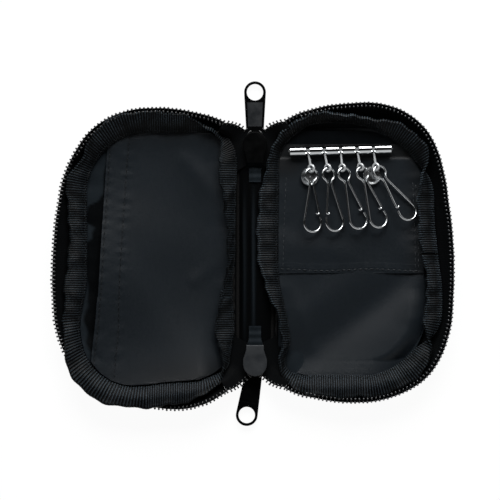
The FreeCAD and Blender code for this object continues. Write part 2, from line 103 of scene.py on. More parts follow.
# Stretches of the seam from the spine's middle to the outer side's middle
SEAM_RUNS = (
    HALF_LENGTH - SPINE_CORNER,
    SPINE_CORNER * math.pi / 2,
    PANEL_WIDTH - SPINE_CORNER - OUTER_CORNER,
    OUTER_CORNER * math.pi / 2,
    HALF_LENGTH - OUTER_CORNER,
)
SEAM_ENDS = np.cumsum(SEAM_RUNS)
LOOP = 2 * SEAM_ENDS[-1]
CORNER_SHARES = tuple(step / 6 for step in range(1, 7))
STATION_SHARES = ((0.33, 0.67, 0.85, 1), CORNER_SHARES, (0.33, 0.67, 1), CORNER_SHARES, (0.5, 1))
WALL_FIRST = 8

# The ribbon's free edge at each station: how far it stands outside the seam, and its height
FREE_EDGE = {
    "left": (
        -2.6, -3.2, -5, -6.2, -6.6, -6.6, -4.6, -2.2, -0.9, 0.5, 2.5, 6, 6.6, 6.8, 7.2, 7.2,
        6.2, 2.5, 6.4, 6.4, 5, 5.2, 7, 7.1, 8.4, 11.2, 13.8, 13.6, 12.1, 11.3, 10.5, 9.6,
        7.2, 5.2, 2.4, -0.8, -3.6, -6.2, -7.2, -7.8, -7.4, -3.8, -2.6,
    ),
    "right": (
        7.3, 7.2, 6.1, 4.8, 2.4, 2.4, 2.8, 2.6, 3, 4.2, 6, 6.6, 5.8, 4.2, 4.4, 5.8,
        6, 4.8, -2.6, -4.3, -4, -2.7, 0, -1.8, -1, 6.2, 7.2, 7.2, 7.1, 7.2, 7.4, 7.3,
        6, 5.4, 4.6, 1.9, 0, -2, -3, -2.4, -0.8, 4.5, 7.3,
    ),
}
FREE_HEIGHT = {
    "left": (
        6.6, 6.8, 6.6, 6.2, 5.8, 5.6, 5.4, 5.4, 6, 6.6, 6.8, 8, 8, 8, 8, 8,
        8, 8, 7.6, 7.2, 6.4, 6.4, 6.8, 7.2, 8, 8.6, 8.7, 8.7, 8.7, 8.7, 8.7, 8.6,
        8.2, 7.4, 6.6, 6, 5.8, 5.6, 5.6, 5.8, 6.2, 6.6, 6.6,
    ),
    "right": (
        4.6, 4.4, 4.8, 5.6, 6.2, 6.6, 7, 7.2, 7.4, 7.8, 8, 8.2, 8.2, 8, 8, 8.2,
        8.2, 8, 7.6, 7, 7, 7.2, 7.8, 7.2, 7.4, 8, 8.2, 8.2, 8.2, 8.2, 8.2, 8.2,
        8, 7.6, 7.2, 6.8, 6.8, 6.8, 6.8, 6.6, 6.2, 5.2, 4.6,
    ),
}
# Where the ribbon's sewn edge lies: outside the seam wherever its free edge leans in over the lining
SEWN_EDGE = {
    "left": (
        0, 0, 0.3, 0.6, 0.8, 1, 1.2, 1.4, 1, 0, -1.2, -1.6, -1.6, -1.6, -1.6, -1.6,
        -1.6, -1.6, -1.6, -1.6, -1.8, -1.8, -1.8, 0.6, 2, 3.4, 4.6, 4.6, 3.8, 2.4, 1.4, 0.9,
        0.4, -0.4, -0.2, 0.8, -0.4, -1.5, -1.2, -0.3, -0.6, -1.2, 0,
    ),
    "right": (
        -1.2, -1.4, -1.6, -1.6, -1.6, -1.6, -1.6, -1.4, -1.2, -0.4, 1.8, 2.6, 2.4, 1.4, -0.4, -1.4,
        -1.6, -1.2, 1.5, 2.4, 2.8, 4, 5.6, 5.8, 4.4, -0.8, -1.6, -1.6, -1.6, -1.6, -1.6, -1.6,
        -1.5, -1, -0.6, -0.2, -2.4, -5, -6.2, -5.8, -4.6, -1.8, -1.2,
    ),
}
SEWN_HEIGHT = {
    "left": (
        3.3, 3.3, 3.3, 3.3, 3.3, 3.3, 3.3, 3.3, 3.3, 3.3, 3.3, 3.3, 3.3, 3.3, 3.3, 3.3,
        3.3, 3.3, 3.3, 3.3, 3.3, 3.3, 3.3, 3.8, 4.3, 4.9, 5.5, 5.6, 5.6, 5.5, 5.5, 5.4,
        5.2, 4.8, 4.2, 3.6, 3.3, 3.3, 3.3, 3.3, 3.3, 3.3, 3.3,
    ),
    "right": (
        3.3, 3.3, 3.3, 3.3, 3.3, 3.3, 3.3, 3.3, 3.3, 3.4, 3.8, 4, 4, 3.7, 3.4, 3.3,
        3.3, 3.4, 4, 4.4, 4.6, 5.2, 5.9, 6, 5.4, 5, 5.4, 5.6, 5.6, 5.4, 5, 4.6,
        4.2, 3.8, 3.5, 3.5, 3.9, 4.2, 4.2, 4, 3.7, 3.4, 3.3,
    ),
}
# How steeply the teeth point up round the wall: flat rows show spikes, steep rows show beads
TOOTH_RISE = {
    "left": (
        0.6, 0.8, 1, 1, 1, 1, 1, 1, 0.8, 0.5, 0.2, 0.1, 0.1, 0.1, 0.1, 0.1, 0.1, 0.1, 0.1, 0.1,
        0.1, 0.1, 0.1, 0.1, 0.1, 0.1, 0.1,
    ),
    "right": (
        0.2, 0.4, 0.8, 1.2, 1.6, 2, 2, 2, 2, 2, 2, 2, 2, 2, 2, 2, 2, 2, 1.8, 1.6,
        1.4, 1.2, 1.2, 1, 0.6, 0.2, 0.1,
    ),
}
# How far the zip's teeth stand outside the seam, from the wall's top end to its bottom end
RIM_EDGE = {
    "left": (
        4.9, 4.6, 5.5, 7, 7.8, 7.7, 7.6, 7.6, 7.3, 6.7, 7.2, 8.4, 10.3, 11.2,
        11.5, 10.8, 10, 10.2, 11.2, 11, 9.9, 10.4, 11.4, 11.6, 10.3, 8, 7.2,
    ),
    "right": (
        5.4, 5.8, 7, 8.8, 9.5, 10, 10.3, 10.3, 9.6, 8, 6.8, 7.3, 9, 9.9,
        9.9, 9.3, 8.7, 9.1, 9.5, 8.8, 8.5, 8.7, 8.8, 8.1, 6.6, 6, 5.7,
    ),
}


def srgb(red, green, blue):
    """Linear colour of 8-bit values as a screen shows them."""
    parts = []
    for value in (red, green, blue):
        share = value / 255
        parts.append(share / 12.92 if share <= 0.04045 else ((share + 0.055) / 1.055) ** 2.4)
    return tuple(parts)


def size_property(name, description, millimetres):
    """A length given in millimetres and kept in metres."""
    return bpy.props.FloatProperty(
        name=name, description=description, default=millimetres * MM, min=0, unit="LENGTH", precision=5
    )


def colour_property(name, description, values):
    """A colour given in 8-bit values."""
    return bpy.props.FloatVectorProperty(
        name=name, description=description, default=srgb(*values), min=0, max=1, size=3, subtype="COLOR"
    )


class KeyCaseSizes(bpy.types.PropertyGroup):
    """Sizes that a maker would change"""
    rib_pitch: size_property("Rib pitch", "Distance between the ribs of the binding ribbon", 0.92)
    rib_height: size_property("Rib height", "How far a rib stands out of the ribbon", 0.1)
    tooth_pitch: size_property("Tooth pitch", "Distance between the coil's teeth", 1.62)
    tooth_length: size_property("Tooth length", "Length of a tooth across the tape", 2.2)
    tooth_width: size_property("Tooth width", "Width of the coil's wire", 0.7)
    stitch_pitch: size_property("Stitch pitch", "Distance between stitches", 2.2)
    stitch_length: size_property("Stitch length", "Visible length of a stitch", 1.5)
    thread_width: size_property("Thread width", "Width of the sewing thread", 0.28)


class KeyCaseColours(bpy.types.PropertyGroup):
    """Colours of the cloth, ribbon, zip and metal"""
    lining: colour_property("Lining", "Thin woven lining of the halves and the spine", (26, 31, 35))
    satin: colour_property("Satin", "Glossier lining cloth of the pocket and panels", (14, 20, 25))
    outer: colour_property("Outer cloth", "Coarse woven outer cloth", (18, 21, 23))
    ribbon: colour_property("Ribbon", "Ribbed binding", (17, 21, 24))
    tape: colour_property("Zip tape", "Knitted tape that carries the teeth", (4, 5, 6))
    coil: colour_property("Coil", "Nylon teeth", (13, 15, 17))
    thread: colour_property("Thread", "Sewing thread", (34, 39, 43))
    black_metal: colour_property("Black metal", "Painted sliders and pulls", (24, 26, 28))
    bright_metal: colour_property("Bright metal", "Plated bar, links and hooks", (205, 208, 210))


class KeyCaseStage(bpy.types.PropertyGroup):
    """Camera and light"""
    centre: bpy.props.FloatVectorProperty(
        name="Centre", description="Point under the camera", default=(-2 * MM, 1.6 * MM, 4 * MM),
        subtype="XYZ",
    )
    height: size_property("Camera height", "Distance from the camera to the centre", 1000)
    lens: bpy.props.FloatProperty(name="Lens", description="Focal length", default=180, unit="CAMERA")
    softbox: bpy.props.FloatProperty(
        name="Softbox", description="Power of the soft light on the top slider's side", default=17.6,
        unit="POWER",
    )
    sky: bpy.props.FloatProperty(
        name="Sky", description="Strength of the light from all around", default=0.85
    )


def sizes():
    """The scene's sizes, in metres."""
    return bpy.context.scene.key_case_sizes


# Curves and grids


def smooth_step(low, high, value):
    """0 before low, 1 after high, and a smooth climb between them."""
    share = np.clip((value - low) / (high - low), 0, 1)
    return share * share * (3 - 2 * share)


def bulge(share):
    """Bell of height 1 round zero, a third as high at 1 and gone at 2."""
    return np.exp(-(share ** 2))


def unit(vectors):
    """Vectors of a list or grid, each brought to length 1."""
    return vectors / np.linalg.norm(vectors, axis=-1, keepdims=True)


def run_along(points):
    """Distance of each point of a line from its first, along the line."""
    return np.concatenate([[0], np.cumsum(np.linalg.norm(np.diff(points, axis=0), axis=1))])


def as_grid(x, y, z):
    """Points of a grid or a line from their X, Y and Z."""
    return np.stack(np.broadcast_arrays(x, y, z), -1)


def lifted(ground, height):
    """Points of the ground, as X and Y, raised to a height."""
    return np.concatenate([ground, np.broadcast_to(height, ground.shape[:-1])[..., None]], -1)


def seam(distance):
    """Points and outward directions of the right half's seam, at distances from the spine's middle."""
    around = np.mod(np.asarray(distance, float), LOOP)
    upper = np.minimum(around, LOOP - around)
    near_turn = np.clip((upper - SEAM_ENDS[0]) / SPINE_CORNER, 0, math.pi / 2)
    far_turn = np.clip((upper - SEAM_ENDS[2]) / OUTER_CORNER, 0, math.pi / 2)
    x = SPINE_HALF + SPINE_CORNER * (1 - np.cos(near_turn)) + np.clip(upper - SEAM_ENDS[1], 0, SEAM_RUNS[2])
    x += OUTER_CORNER * np.sin(far_turn)
    y = np.minimum(upper, SEAM_ENDS[0]) + SPINE_CORNER * np.sin(near_turn)
    y -= OUTER_CORNER * (1 - np.cos(far_turn)) + np.maximum(upper - SEAM_ENDS[3], 0)
    angle = math.pi - near_turn - far_turn
    flip = np.where(around <= LOOP / 2, 1, -1)
    return np.stack([x, y * flip], -1), np.stack([np.cos(angle), np.sin(angle) * flip], -1)


def station_distances():
    """Distances of the tables' stations round the whole seam."""
    upper = [0.0]
    start = 0.0
    for run, shares in zip(SEAM_RUNS, STATION_SHARES):
        upper += [start + run * share for share in shares]
        start += run
    return np.array(upper + [LOOP - distance for distance in reversed(upper[:-1])])


STATIONS = station_distances()
WALL_STATIONS = STATIONS[WALL_FIRST:len(STATIONS) - WALL_FIRST]
BLUR = np.linspace(-2.6, 2.6, 11)


def around_half(table, distance):
    """Station values of the whole loop, smoothed, at distances round the seam."""
    return np.mean([np.interp(np.mod(distance + shift, LOOP), STATIONS, table) for shift in BLUR], axis=0)


def along_wall(table, distance):
    """Station values of the zip wall, smoothed, at distances round the seam."""
    return np.mean([np.interp(distance + shift, WALL_STATIONS, table) for shift in BLUR], axis=0)


def half_span(y, inset):
    """Nearest and furthest X of the right half at y, drawn in by inset."""
    top = HALF_LENGTH - inset

    def bite(radius):
        """How much a rounded corner takes off the width."""
        over = np.clip(np.abs(y) - (top - radius), 0, radius)
        return radius - np.sqrt(radius * radius - over * over)

    near = SPINE_HALF + inset + bite(SPINE_CORNER - inset)
    far = SPINE_HALF + PANEL_WIDTH - inset - bite(OUTER_CORNER - inset)
    return near, far


SEAM_SAMPLES = np.arange(0, LOOP, 1.0)
SEAM_POINTS = seam(SEAM_SAMPLES)[0]


def from_seam(x, y):
    """Distance from the seam, and the place round it that is nearest, for points of the right half."""
    points = np.stack([x.ravel(), y.ravel()], -1)
    gaps = np.linalg.norm(points[:, None, :] - SEAM_POINTS[None, :, :], axis=2)
    nearest = gaps.argmin(1)
    return gaps.min(1).reshape(x.shape), SEAM_SAMPLES[nearest].reshape(x.shape)


def crease(x, y, start, end, width, height):
    """Height of a soft fold along a line, rounded across it and fading at its ends."""
    start, end = np.array(start, float), np.array(end, float)
    run = end - start
    length = np.linalg.norm(run)
    run /= length
    along = ((x - start[0]) * run[0] + (y - start[1]) * run[1]) / length
    across = (x - start[0]) * -run[1] + (y - start[1]) * run[0]
    fade = smooth_step(-0.12, 0.15, along) * (1 - smooth_step(0.85, 1.12, along))
    return height * bulge(across / width) * fade


def ripples(x, y, scale, height):
    """Slow uneven waves of slack cloth."""
    a, b = x / scale, y / scale
    waves = np.sin(a * 1.9 + 1.3 * np.sin(b * 1.1)) + np.sin(b * 2.3 + 1.7 * np.sin(a * 0.8 + 0.6))
    waves += 0.6 * np.sin(a * 3.1 - b * 2.2 + 0.9)
    return height * waves / 2.6


# Meshes
SHARP_EDGE = math.radians(48)
HALF_ROWS = 150
HALF_COLUMNS = 96


def add_object(name, data):
    """An object in the scene for a mesh, light or camera."""
    made = bpy.data.objects.new(name, data)
    bpy.context.scene.collection.objects.link(made)
    return made


def new_piece(name, points, faces, material, uv=None):
    """A mesh piece at the origin from points in millimetres, smooth, with closed faces turned outwards."""
    mesh = bpy.data.meshes.new(name)
    mesh.from_pydata([tuple(point) for point in np.asarray(points) * MM], [], faces)
    if uv is not None:
        layer = mesh.uv_layers.new(name="UVMap")
        corners = np.zeros(len(mesh.loops), np.int32)
        mesh.loops.foreach_get("vertex_index", corners)
        layer.data.foreach_set("uv", np.asarray(uv, np.float32)[corners].ravel())
    shape = bmesh.new()
    shape.from_mesh(mesh)
    bmesh.ops.recalc_face_normals(shape, faces=shape.faces)
    shape.to_mesh(mesh)
    shape.free()
    mesh.shade_smooth()
    mesh.set_sharp_from_angle(angle=SHARP_EDGE)
    mesh.materials.append(material)
    return add_object(name, mesh)


def ring_faces(rings, count):
    """Faces between closed rings of an equal count of points, one after the other."""
    faces = []
    for first in range(0, (rings - 1) * count, count):
        second = first + count
        for point in range(count):
            following = (point + 1) % count
            faces.append((first + point, first + following, second + following, second + point))
    return faces


def loft(name, sections, material, run=None):
    """Closed sections of an even count of points, joined one after the other, with both ends closed.
    The first half of a section is its upper face and the second half runs back below it."""
    sections = np.asarray(sections, float)
    rows, count, _ = sections.shape
    half = count // 2
    faces = ring_faces(rows, count)
    for row in (0, rows - 1):
        first = row * count
        for point in range(half - 1):
            back = count - 1 - point
            faces.append((first + point, first + point + 1, first + back - 1, first + back))
    if run is None:
        run = run_along(sections[:, half // 2, :])
    steps = np.linalg.norm(np.diff(sections[:, :half], axis=1), axis=2)
    v = np.concatenate([np.zeros((rows, 1)), np.cumsum(steps, axis=1)], axis=1)
    v = np.concatenate([v, v[:, ::-1]], axis=1)
    uv = np.stack([np.repeat(run[:, None], count, 1), v], -1).reshape(-1, 2)
    return new_piece(name, sections.reshape(-1, 3), faces, material, uv)


def mark_painted_light(piece, upper, lower=None):
    """Painted light and wear values of a loft's upper face, and of its lower one where that differs.
    Above 0 they darken the colour as painted shade, black at 1; at 0 it is as it comes, and below 0 paler, as
    painted highlight or wear."""
    layer = piece.data.attributes.new("deep", "FLOAT", "POINT")
    under = upper[:, ::-1] if lower is None else np.full(upper.shape, lower)
    both = np.concatenate([upper, under], axis=1)
    layer.data.foreach_set("value", both.astype(np.float32).ravel())


def cloth(name, grid, thick, material, deep=None):
    """Thin closed cloth whose upper face is a grid of points, rows by columns.
    Its optional values darken it as painted shade, most where a point lies in under an edge."""
    grid = np.asarray(grid, float)
    normals = unit(np.cross(np.gradient(grid, axis=1), np.gradient(grid, axis=0)))
    normals *= np.where(normals[..., 2:] < 0, -1, 1)
    under = grid - normals * np.broadcast_to(thick, grid.shape[:2])[..., None]
    piece = loft(name, np.concatenate([grid, under[:, ::-1]], axis=1), material)
    if deep is not None:
        mark_painted_light(piece, deep)
    return piece


def mirrored(points, side):
    """Points drawn for the right half, moved to the given half."""
    points = np.array(points, float)
    points[..., 0] *= SIGN[side]
    return points


def spread(y, near, far, columns):
    """X and Y of a grid whose rows run from a near to a far X."""
    x = near[:, None] + (far - near)[:, None] * np.linspace(0, 1, columns)[None, :]
    return x, np.repeat(y[:, None], columns, 1)


def half_grid(inset):
    """X and Y of a grid over the right half, drawn in by inset, with closer rows at both ends."""
    share = np.linspace(-1, 1, HALF_ROWS)
    share = 0.5 * share + 0.5 * np.sin(share * math.pi / 2)
    y = share * (HALF_LENGTH - inset)
    return spread(y, *half_span(y, inset), HALF_COLUMNS)


# Nodes of materials and of repeated shapes


class Graph:
    """Adds nodes to a tree, with values or links given by input name or number."""

    def __init__(self, tree):
        self.tree = tree

    def give(self, node, inputs):
        """Links a node's inputs to sockets, or sets them to plain values."""
        for key, value in inputs.items():
            if isinstance(value, bpy.types.NodeSocket):
                self.tree.links.new(value, node.inputs[key])
            else:
                node.inputs[key].default_value = value

    def add(self, kind, inputs=None, **settings):
        """A new node, with its settings made before its inputs."""
        node = self.tree.nodes.new(kind)
        for key, value in settings.items():
            setattr(node, key, value)
        self.give(node, inputs or {})
        return node

    def math(self, operation, *values):
        """Result of an arithmetic node."""
        return self.add("ShaderNodeMath", dict(enumerate(values)), operation=operation).outputs[0]

    def weighted(self, *parts):
        """Sum of values, each times its weight."""
        total = 0.0
        for value, weight in parts:
            total = self.math("MULTIPLY_ADD", value, weight, total)
        return total

    def ranged(self, value, low, high, to_low=0.0, to_high=1.0):
        """A value stretched from one range to another, and held at its ends."""
        inputs = {"Value": value, "From Min": low, "From Max": high, "To Min": to_low, "To Max": to_high}
        return self.add("ShaderNodeMapRange", inputs).outputs[0]

    def noise(self, vector, scale, detail, roughness=0.5):
        """Cloudy noise between 0 and 1."""
        inputs = {"Vector": vector, "Scale": scale, "Detail": detail, "Roughness": roughness}
        return self.add("ShaderNodeTexNoise", inputs).outputs[0]

    def bands(self, vector, pitch, direction, distortion, detail):
        """Soft bands that lie pitch apart along X or Y."""
        inputs = {
            "Vector": vector, "Scale": 2 * math.pi / (20 * pitch), "Distortion": distortion, "Detail": detail
        }
        settings = {"wave_type": "BANDS", "wave_profile": "SIN", "bands_direction": direction}
        return self.add("ShaderNodeTexWave", inputs, **settings).outputs["Fac"]

    def bump(self, height, strength, depth):
        """Normal of a surface with small heights, whose depth is in millimetres."""
        inputs = {"Height": height, "Strength": strength, "Distance": depth * MM}
        return self.add("ShaderNodeBump", inputs).outputs[0]

    def scaled_vector(self, vector, factor):
        """A vector or colour times a factor."""
        return self.add("ShaderNodeVectorMath", {0: vector, 3: factor}, operation="SCALE").outputs[0]


def begin_material(name):
    """A new material, its graph and its shader."""
    material = bpy.data.materials.new(name)
    material.use_nodes = True
    return material, Graph(material.node_tree), material.node_tree.nodes["Principled BSDF"]


def tinted(name, share):
    """A share of one of the case's colours."""
    return tuple(part * share for part in getattr(bpy.context.scene.key_case_colours, name))


def two_tones(graph, factor, colour, low, high):
    """Colour ramp between a darker and a lighter share of one colour."""
    ramp = graph.add("ShaderNodeValToRGB", {"Fac": factor})
    for element, share in zip(ramp.color_ramp.elements, (low, high)):
        element.color = (*[part * share for part in colour], 1)
    return ramp.outputs["Color"]


def with_painted_light(graph, colour, share):
    """Colour darkened as painted shade by a share of the piece's painted light and wear values, and paler
    where they fall below 0.
    """
    deep = graph.add("ShaderNodeAttribute", attribute_name="deep").outputs["Fac"]
    return graph.scaled_vector(colour, graph.math("SUBTRACT", 1.0, graph.math("MULTIPLY", deep, share)))


def woven(name, colour, share, warp, weft, depth, roughness, specular, spread, sheen):
    """Plain weave on the piece's own UV map in millimetres, with slow changes of tone, darkened by the
    piece's painted shade.
    """
    material, graph, shader = begin_material(name)
    coordinates = graph.add("ShaderNodeTexCoord").outputs
    uv = coordinates["UV"]
    across = graph.bands(uv, warp, "X", distortion=0.6, detail=0)
    along = graph.bands(uv, weft, "Y", distortion=0.6, detail=0)
    threads = graph.math("MAXIMUM", across, along)
    fuzz = graph.noise(uv, scale=1.1, detail=6, roughness=0.7)
    drift = graph.noise(coordinates["Object"], scale=55, detail=3)
    tone = graph.weighted((threads, 0.3), (fuzz, 0.4), (drift, 0.3))
    shades = two_tones(graph, tone, tinted(colour, share), 1 - spread, 1 + spread)
    graph.give(shader, {
        "Base Color": with_painted_light(graph, shades, 0.88),
        "Roughness": graph.ranged(fuzz, 0.3, 0.7, roughness - 0.07, roughness + 0.07),
        "Normal": graph.bump(graph.weighted((fuzz, 0.8), (threads, 1.0)), 0.6, depth),
        "Specular IOR Level": specular,
        "Sheen Weight": sheen,
        "Sheen Roughness": 0.4,
    })
    return material


def ribbed(name):
    """Ribbed ribbon: pale rib tops as painted highlight over black grooves as painted shade, with yarns
    across the ribs, and painted shade in its folds.
    """
    material, graph, shader = begin_material(name)
    uv = graph.add("ShaderNodeTexCoord").outputs["UV"]
    run = graph.add("ShaderNodeSeparateXYZ", {0: uv}).outputs["X"]
    turn = graph.math("MULTIPLY", run, 2 * math.pi * MM / sizes().rib_pitch)
    ribs = graph.math("MULTIPLY_ADD", graph.math("SINE", turn), 0.5, 0.5)
    fuzz = graph.noise(uv, scale=2.2, detail=5, roughness=0.7)
    yarns = graph.bands(uv, YARN_PITCH, "Y", distortion=1.2, detail=2)
    specks = graph.ranged(fuzz, 0.34, 0.66)
    tone = graph.ranged(graph.weighted((ribs, 0.56), (specks, 0.34), (yarns, 0.1)), 0.56, 0.94)
    shades = two_tones(graph, tone, tinted("ribbon", 1.0), 0.0, RIB_HIGHLIGHT_SHARE)
    graph.give(shader, {
        "Base Color": with_painted_light(graph, shades, 1.0),
        "Roughness": 0.42,
        "Normal": graph.bump(graph.weighted((fuzz, 1.5), (yarns, 1.0)), 0.5, 0.05),
        "Specular IOR Level": 0.07,
        "Sheen Weight": 0.02,
        "Sheen Roughness": 0.4,
    })
    return material


def worn(name, colour, share, metallic, roughness, specular, spread, grain):
    """Hard surface with fine grain, cloudy polish and small changes of tone, on Object coordinates."""
    material, graph, shader = begin_material(name)
    place = graph.add("ShaderNodeTexCoord").outputs["Object"]
    cloud = graph.noise(place, scale=260, detail=4, roughness=0.6)
    fine = graph.noise(place, scale=2600, detail=2)
    graph.give(shader, {
        "Base Color": two_tones(graph, cloud, tinted(colour, share), 1 - spread, 1 + spread),
        "Roughness": graph.ranged(cloud, 0.3, 0.7, roughness * 0.7, roughness * 1.3),
        "Normal": graph.bump(fine, 0.25, grain),
        "Metallic": metallic,
        "Specular IOR Level": specular,
    })
    return material


YARN_PITCH = 0.42
# How much paler than the ribbon's own colour its rib tops are painted, as painted highlight
RIB_HIGHLIGHT_SHARE = 9.0

# Cloths: colour, share of it, warp and weft pitch, depth, roughness, specular, spread of tones, sheen
CLOTH_FINISHES = {
    # Thin dull lining of the halves and the spine
    "lining_taffeta": ("lining", 1.0, 0.3, 0.22, 0.03, 0.5, 0.03, 0.5, 0.0),
    # Glossier cloth of the pocket, lower fabric and key panel
    "pocket_satin": ("satin", 1.0, 0.3, 0.22, 0.03, 0.44, 0.24, 0.6, 0.02),
    "outer_canvas": ("outer", 1.0, 0.62, 0.62, 0.12, 0.7, 0.2, 0.35, 0.1),
    "zip_tape_knit": ("tape", 1.0, 0.7, 0.45, 0.09, 0.72, 0.04, 0.4, 0.01),
    "sewing_thread": ("thread", 1.0, 0.16, 0.16, 0.02, 0.5, 0.35, 0.3, 0.1),
    # Darker thread of the bindings and the left hem
    "binding_thread": ("thread", 0.35, 0.16, 0.16, 0.02, 0.5, 0.2, 0.3, 0.0),
}
# Nylon, paint and metal: colour, share of it, metallic, roughness, specular, spread of tones, depth of grain
HARD_FINISHES = {
    "coil_nylon": ("coil", 1.0, 0.0, 0.3, 0.75, 0.3, 0.01),
    # Teeth that lie flat along the left side, darker as painted shade
    "dull_coil_nylon": ("coil", 0.5, 0.0, 0.5, 0.08, 0.3, 0.01),
    # The right coil, shinier, and paler as painted highlight
    "pale_coil_nylon": ("coil", 3.0, 0.0, 0.26, 1.0, 0.3, 0.01),
    # The paint darkened to a tenth, as painted shade
    "black_painted_metal": ("black_metal", 0.1, 0.0, 0.4, 0.04, 0.12, 0.012),
    # The same paint, more matt and paler, as painted light
    "rubbed_painted_metal": ("black_metal", 2.1, 0.0, 0.5, 0.4, 0.12, 0.012),
    # The same paint, a little paler, as painted light
    "satin_painted_metal": ("black_metal", 1.3, 0.0, 0.45, 0.35, 0.12, 0.012),
    "plated_bar": ("bright_metal", 1.0, 1.0, 0.1, 0.5, 0.06, 0.002),
    "plated_wire": ("bright_metal", 0.92, 1.0, 0.16, 0.5, 0.1, 0.003),
    # Plating of the discs, duller than the bar's
    "brushed_plate": ("bright_metal", 1.0, 1.0, 0.24, 0.5, 0.08, 0.004),
    # Dull nickel of the links, which scatters as much light as it mirrors
    "cloudy_nickel": ("bright_metal", 1.0, 0.35, 0.24, 0.5, 0.08, 0.004),
    # The rod, darkened as painted shade for the bar's slots it lies in
    "dark_rod": ("bright_metal", 0.08, 1.0, 0.4, 0.5, 0.1, 0.003),
}


def finish(name):
    """The finish of that name, made on its first use."""
    made = bpy.data.materials.get(name)
    if made:
        return made
    if name in CLOTH_FINISHES:
        return woven(name, *CLOTH_FINISHES[name])
    if name in HARD_FINISHES:
        return worn(name, *HARD_FINISHES[name])
    return ribbed(name)


def stretched(graph, shape, length, width, shift=None):
    """A copy of a shape, scaled to a length and width, and moved along its length."""
    size = graph.add("ShaderNodeCombineXYZ", {"X": length, "Y": width, "Z": width}).outputs[0]
    inputs = {"Geometry": shape, "Scale": size}
    if shift is not None:
        inputs["Translation"] = graph.add("ShaderNodeCombineXYZ", {"X": shift}).outputs[0]
    return graph.add("GeometryNodeTransform", inputs).outputs[0]


def repeat_tree(name, kind):
    """Node tree that sets a shape at even steps along a line: a tooth across it or a stitch along it."""
    tree = bpy.data.node_groups.new(name, "GeometryNodeTree")
    for socket, data in (
        ("Geometry", "Geometry"), ("Pitch", "Float"), ("Length", "Float"), ("Width", "Float"),
        ("Seed", "Int"), ("Material", "Material"),
    ):
        tree.interface.new_socket(socket, in_out="INPUT", socket_type="NodeSocket" + data)
    tree.interface.new_socket("Geometry", in_out="OUTPUT", socket_type="NodeSocketGeometry")
    graph = Graph(tree)
    given = graph.add("NodeGroupInput").outputs
    length, width = given["Length"], given["Width"]
    line = graph.add("GeometryNodeMeshToCurve", {"Mesh": given["Geometry"]}).outputs[0]
    steps = {"Curve": line, "Length": given["Pitch"]}
    even = graph.add("GeometryNodeResampleCurve", steps, mode="LENGTH").outputs[0]
    ball = graph.add("GeometryNodeMeshUVSphere", {"Segments": 8, "Rings": 6, "Radius": 0.5}).outputs["Mesh"]
    shape = stretched(graph, ball, length, width)
    tangent = graph.add("GeometryNodeInputTangent").outputs[0]
    if kind == "tooth":
        head_width = graph.math("MULTIPLY", width, 1.2)
        head = stretched(graph, ball, head_width, head_width, graph.math("MULTIPLY", length, 0.34))
        joined = graph.add("GeometryNodeJoinGeometry")
        for part in (shape, head):
            tree.links.new(part, joined.inputs[0])
        shape = joined.outputs[0]
        named = graph.add("GeometryNodeInputNamedAttribute", {"Name": "outward"}, data_type="FLOAT_VECTOR")
        outward = named.outputs[0]
        first = graph.add("FunctionNodeAlignRotationToVector", {"Vector": outward}, axis="X").outputs[0]
        turned = {"Rotation": first, "Vector": tangent}
        turn = graph.add("FunctionNodeAlignRotationToVector", turned, axis="Y", pivot_axis="X").outputs[0]
    else:
        turn = graph.add("FunctionNodeAlignRotationToVector", {"Vector": tangent}, axis="X").outputs[0]
    uneven = {"Min": 0.9, "Max": 1.1, "Seed": given["Seed"]}
    sway = graph.add("FunctionNodeRandomValue", uneven, data_type="FLOAT").outputs
    scale = next(socket for socket in sway if socket.enabled)
    places = {"Points": even, "Instance": shape, "Rotation": turn, "Scale": scale}
    placed = graph.add("GeometryNodeInstanceOnPoints", places).outputs[0]
    real = graph.add("GeometryNodeRealizeInstances", {"Geometry": placed}).outputs[0]
    paint = {"Geometry": real, "Material": given["Material"]}
    painted = graph.add("GeometryNodeSetMaterial", paint).outputs[0]
    graph.add("NodeGroupOutput", {"Geometry": painted})
    return tree


def repeated(name, lines, kind, pitch, length, width, material, outward=None):
    """Teeth or stitches along lines of points in millimetres, as one plain mesh."""
    mesh = bpy.data.meshes.new(name)
    edges = []
    start = 0
    for line in lines:
        edges += [(start + step, start + step + 1) for step in range(len(line) - 1)]
        start += len(line)
    mesh.from_pydata([tuple(point) for point in np.concatenate(lines) * MM], edges, [])
    if outward is not None:
        layer = mesh.attributes.new("outward", "FLOAT_VECTOR", "POINT")
        layer.data.foreach_set("vector", np.concatenate(outward).astype(np.float32).ravel())
    carrier = add_object(name + "_line", mesh)
    tree = bpy.data.node_groups.get(kind + "_row") or repeat_tree(kind + "_row", kind)
    modifier = carrier.modifiers.new("repeat", "NODES")
    modifier.node_group = tree
    values = {"Pitch": pitch, "Length": length, "Width": width, "Seed": 7, "Material": material}
    for item in tree.interface.items_tree:
        if item.in_out == "INPUT" and item.name in values:
            modifier[item.identifier] = values[item.name]
    graph = bpy.context.evaluated_depsgraph_get()
    made = bpy.data.meshes.new_from_object(carrier.evaluated_get(graph))
    carrier.modifiers.remove(modifier)
    bpy.data.objects.remove(carrier)
    if not made.polygons:
        raise RuntimeError(name + " came out empty")
    made.name = name
    made.shade_smooth()
    return add_object(name, made)


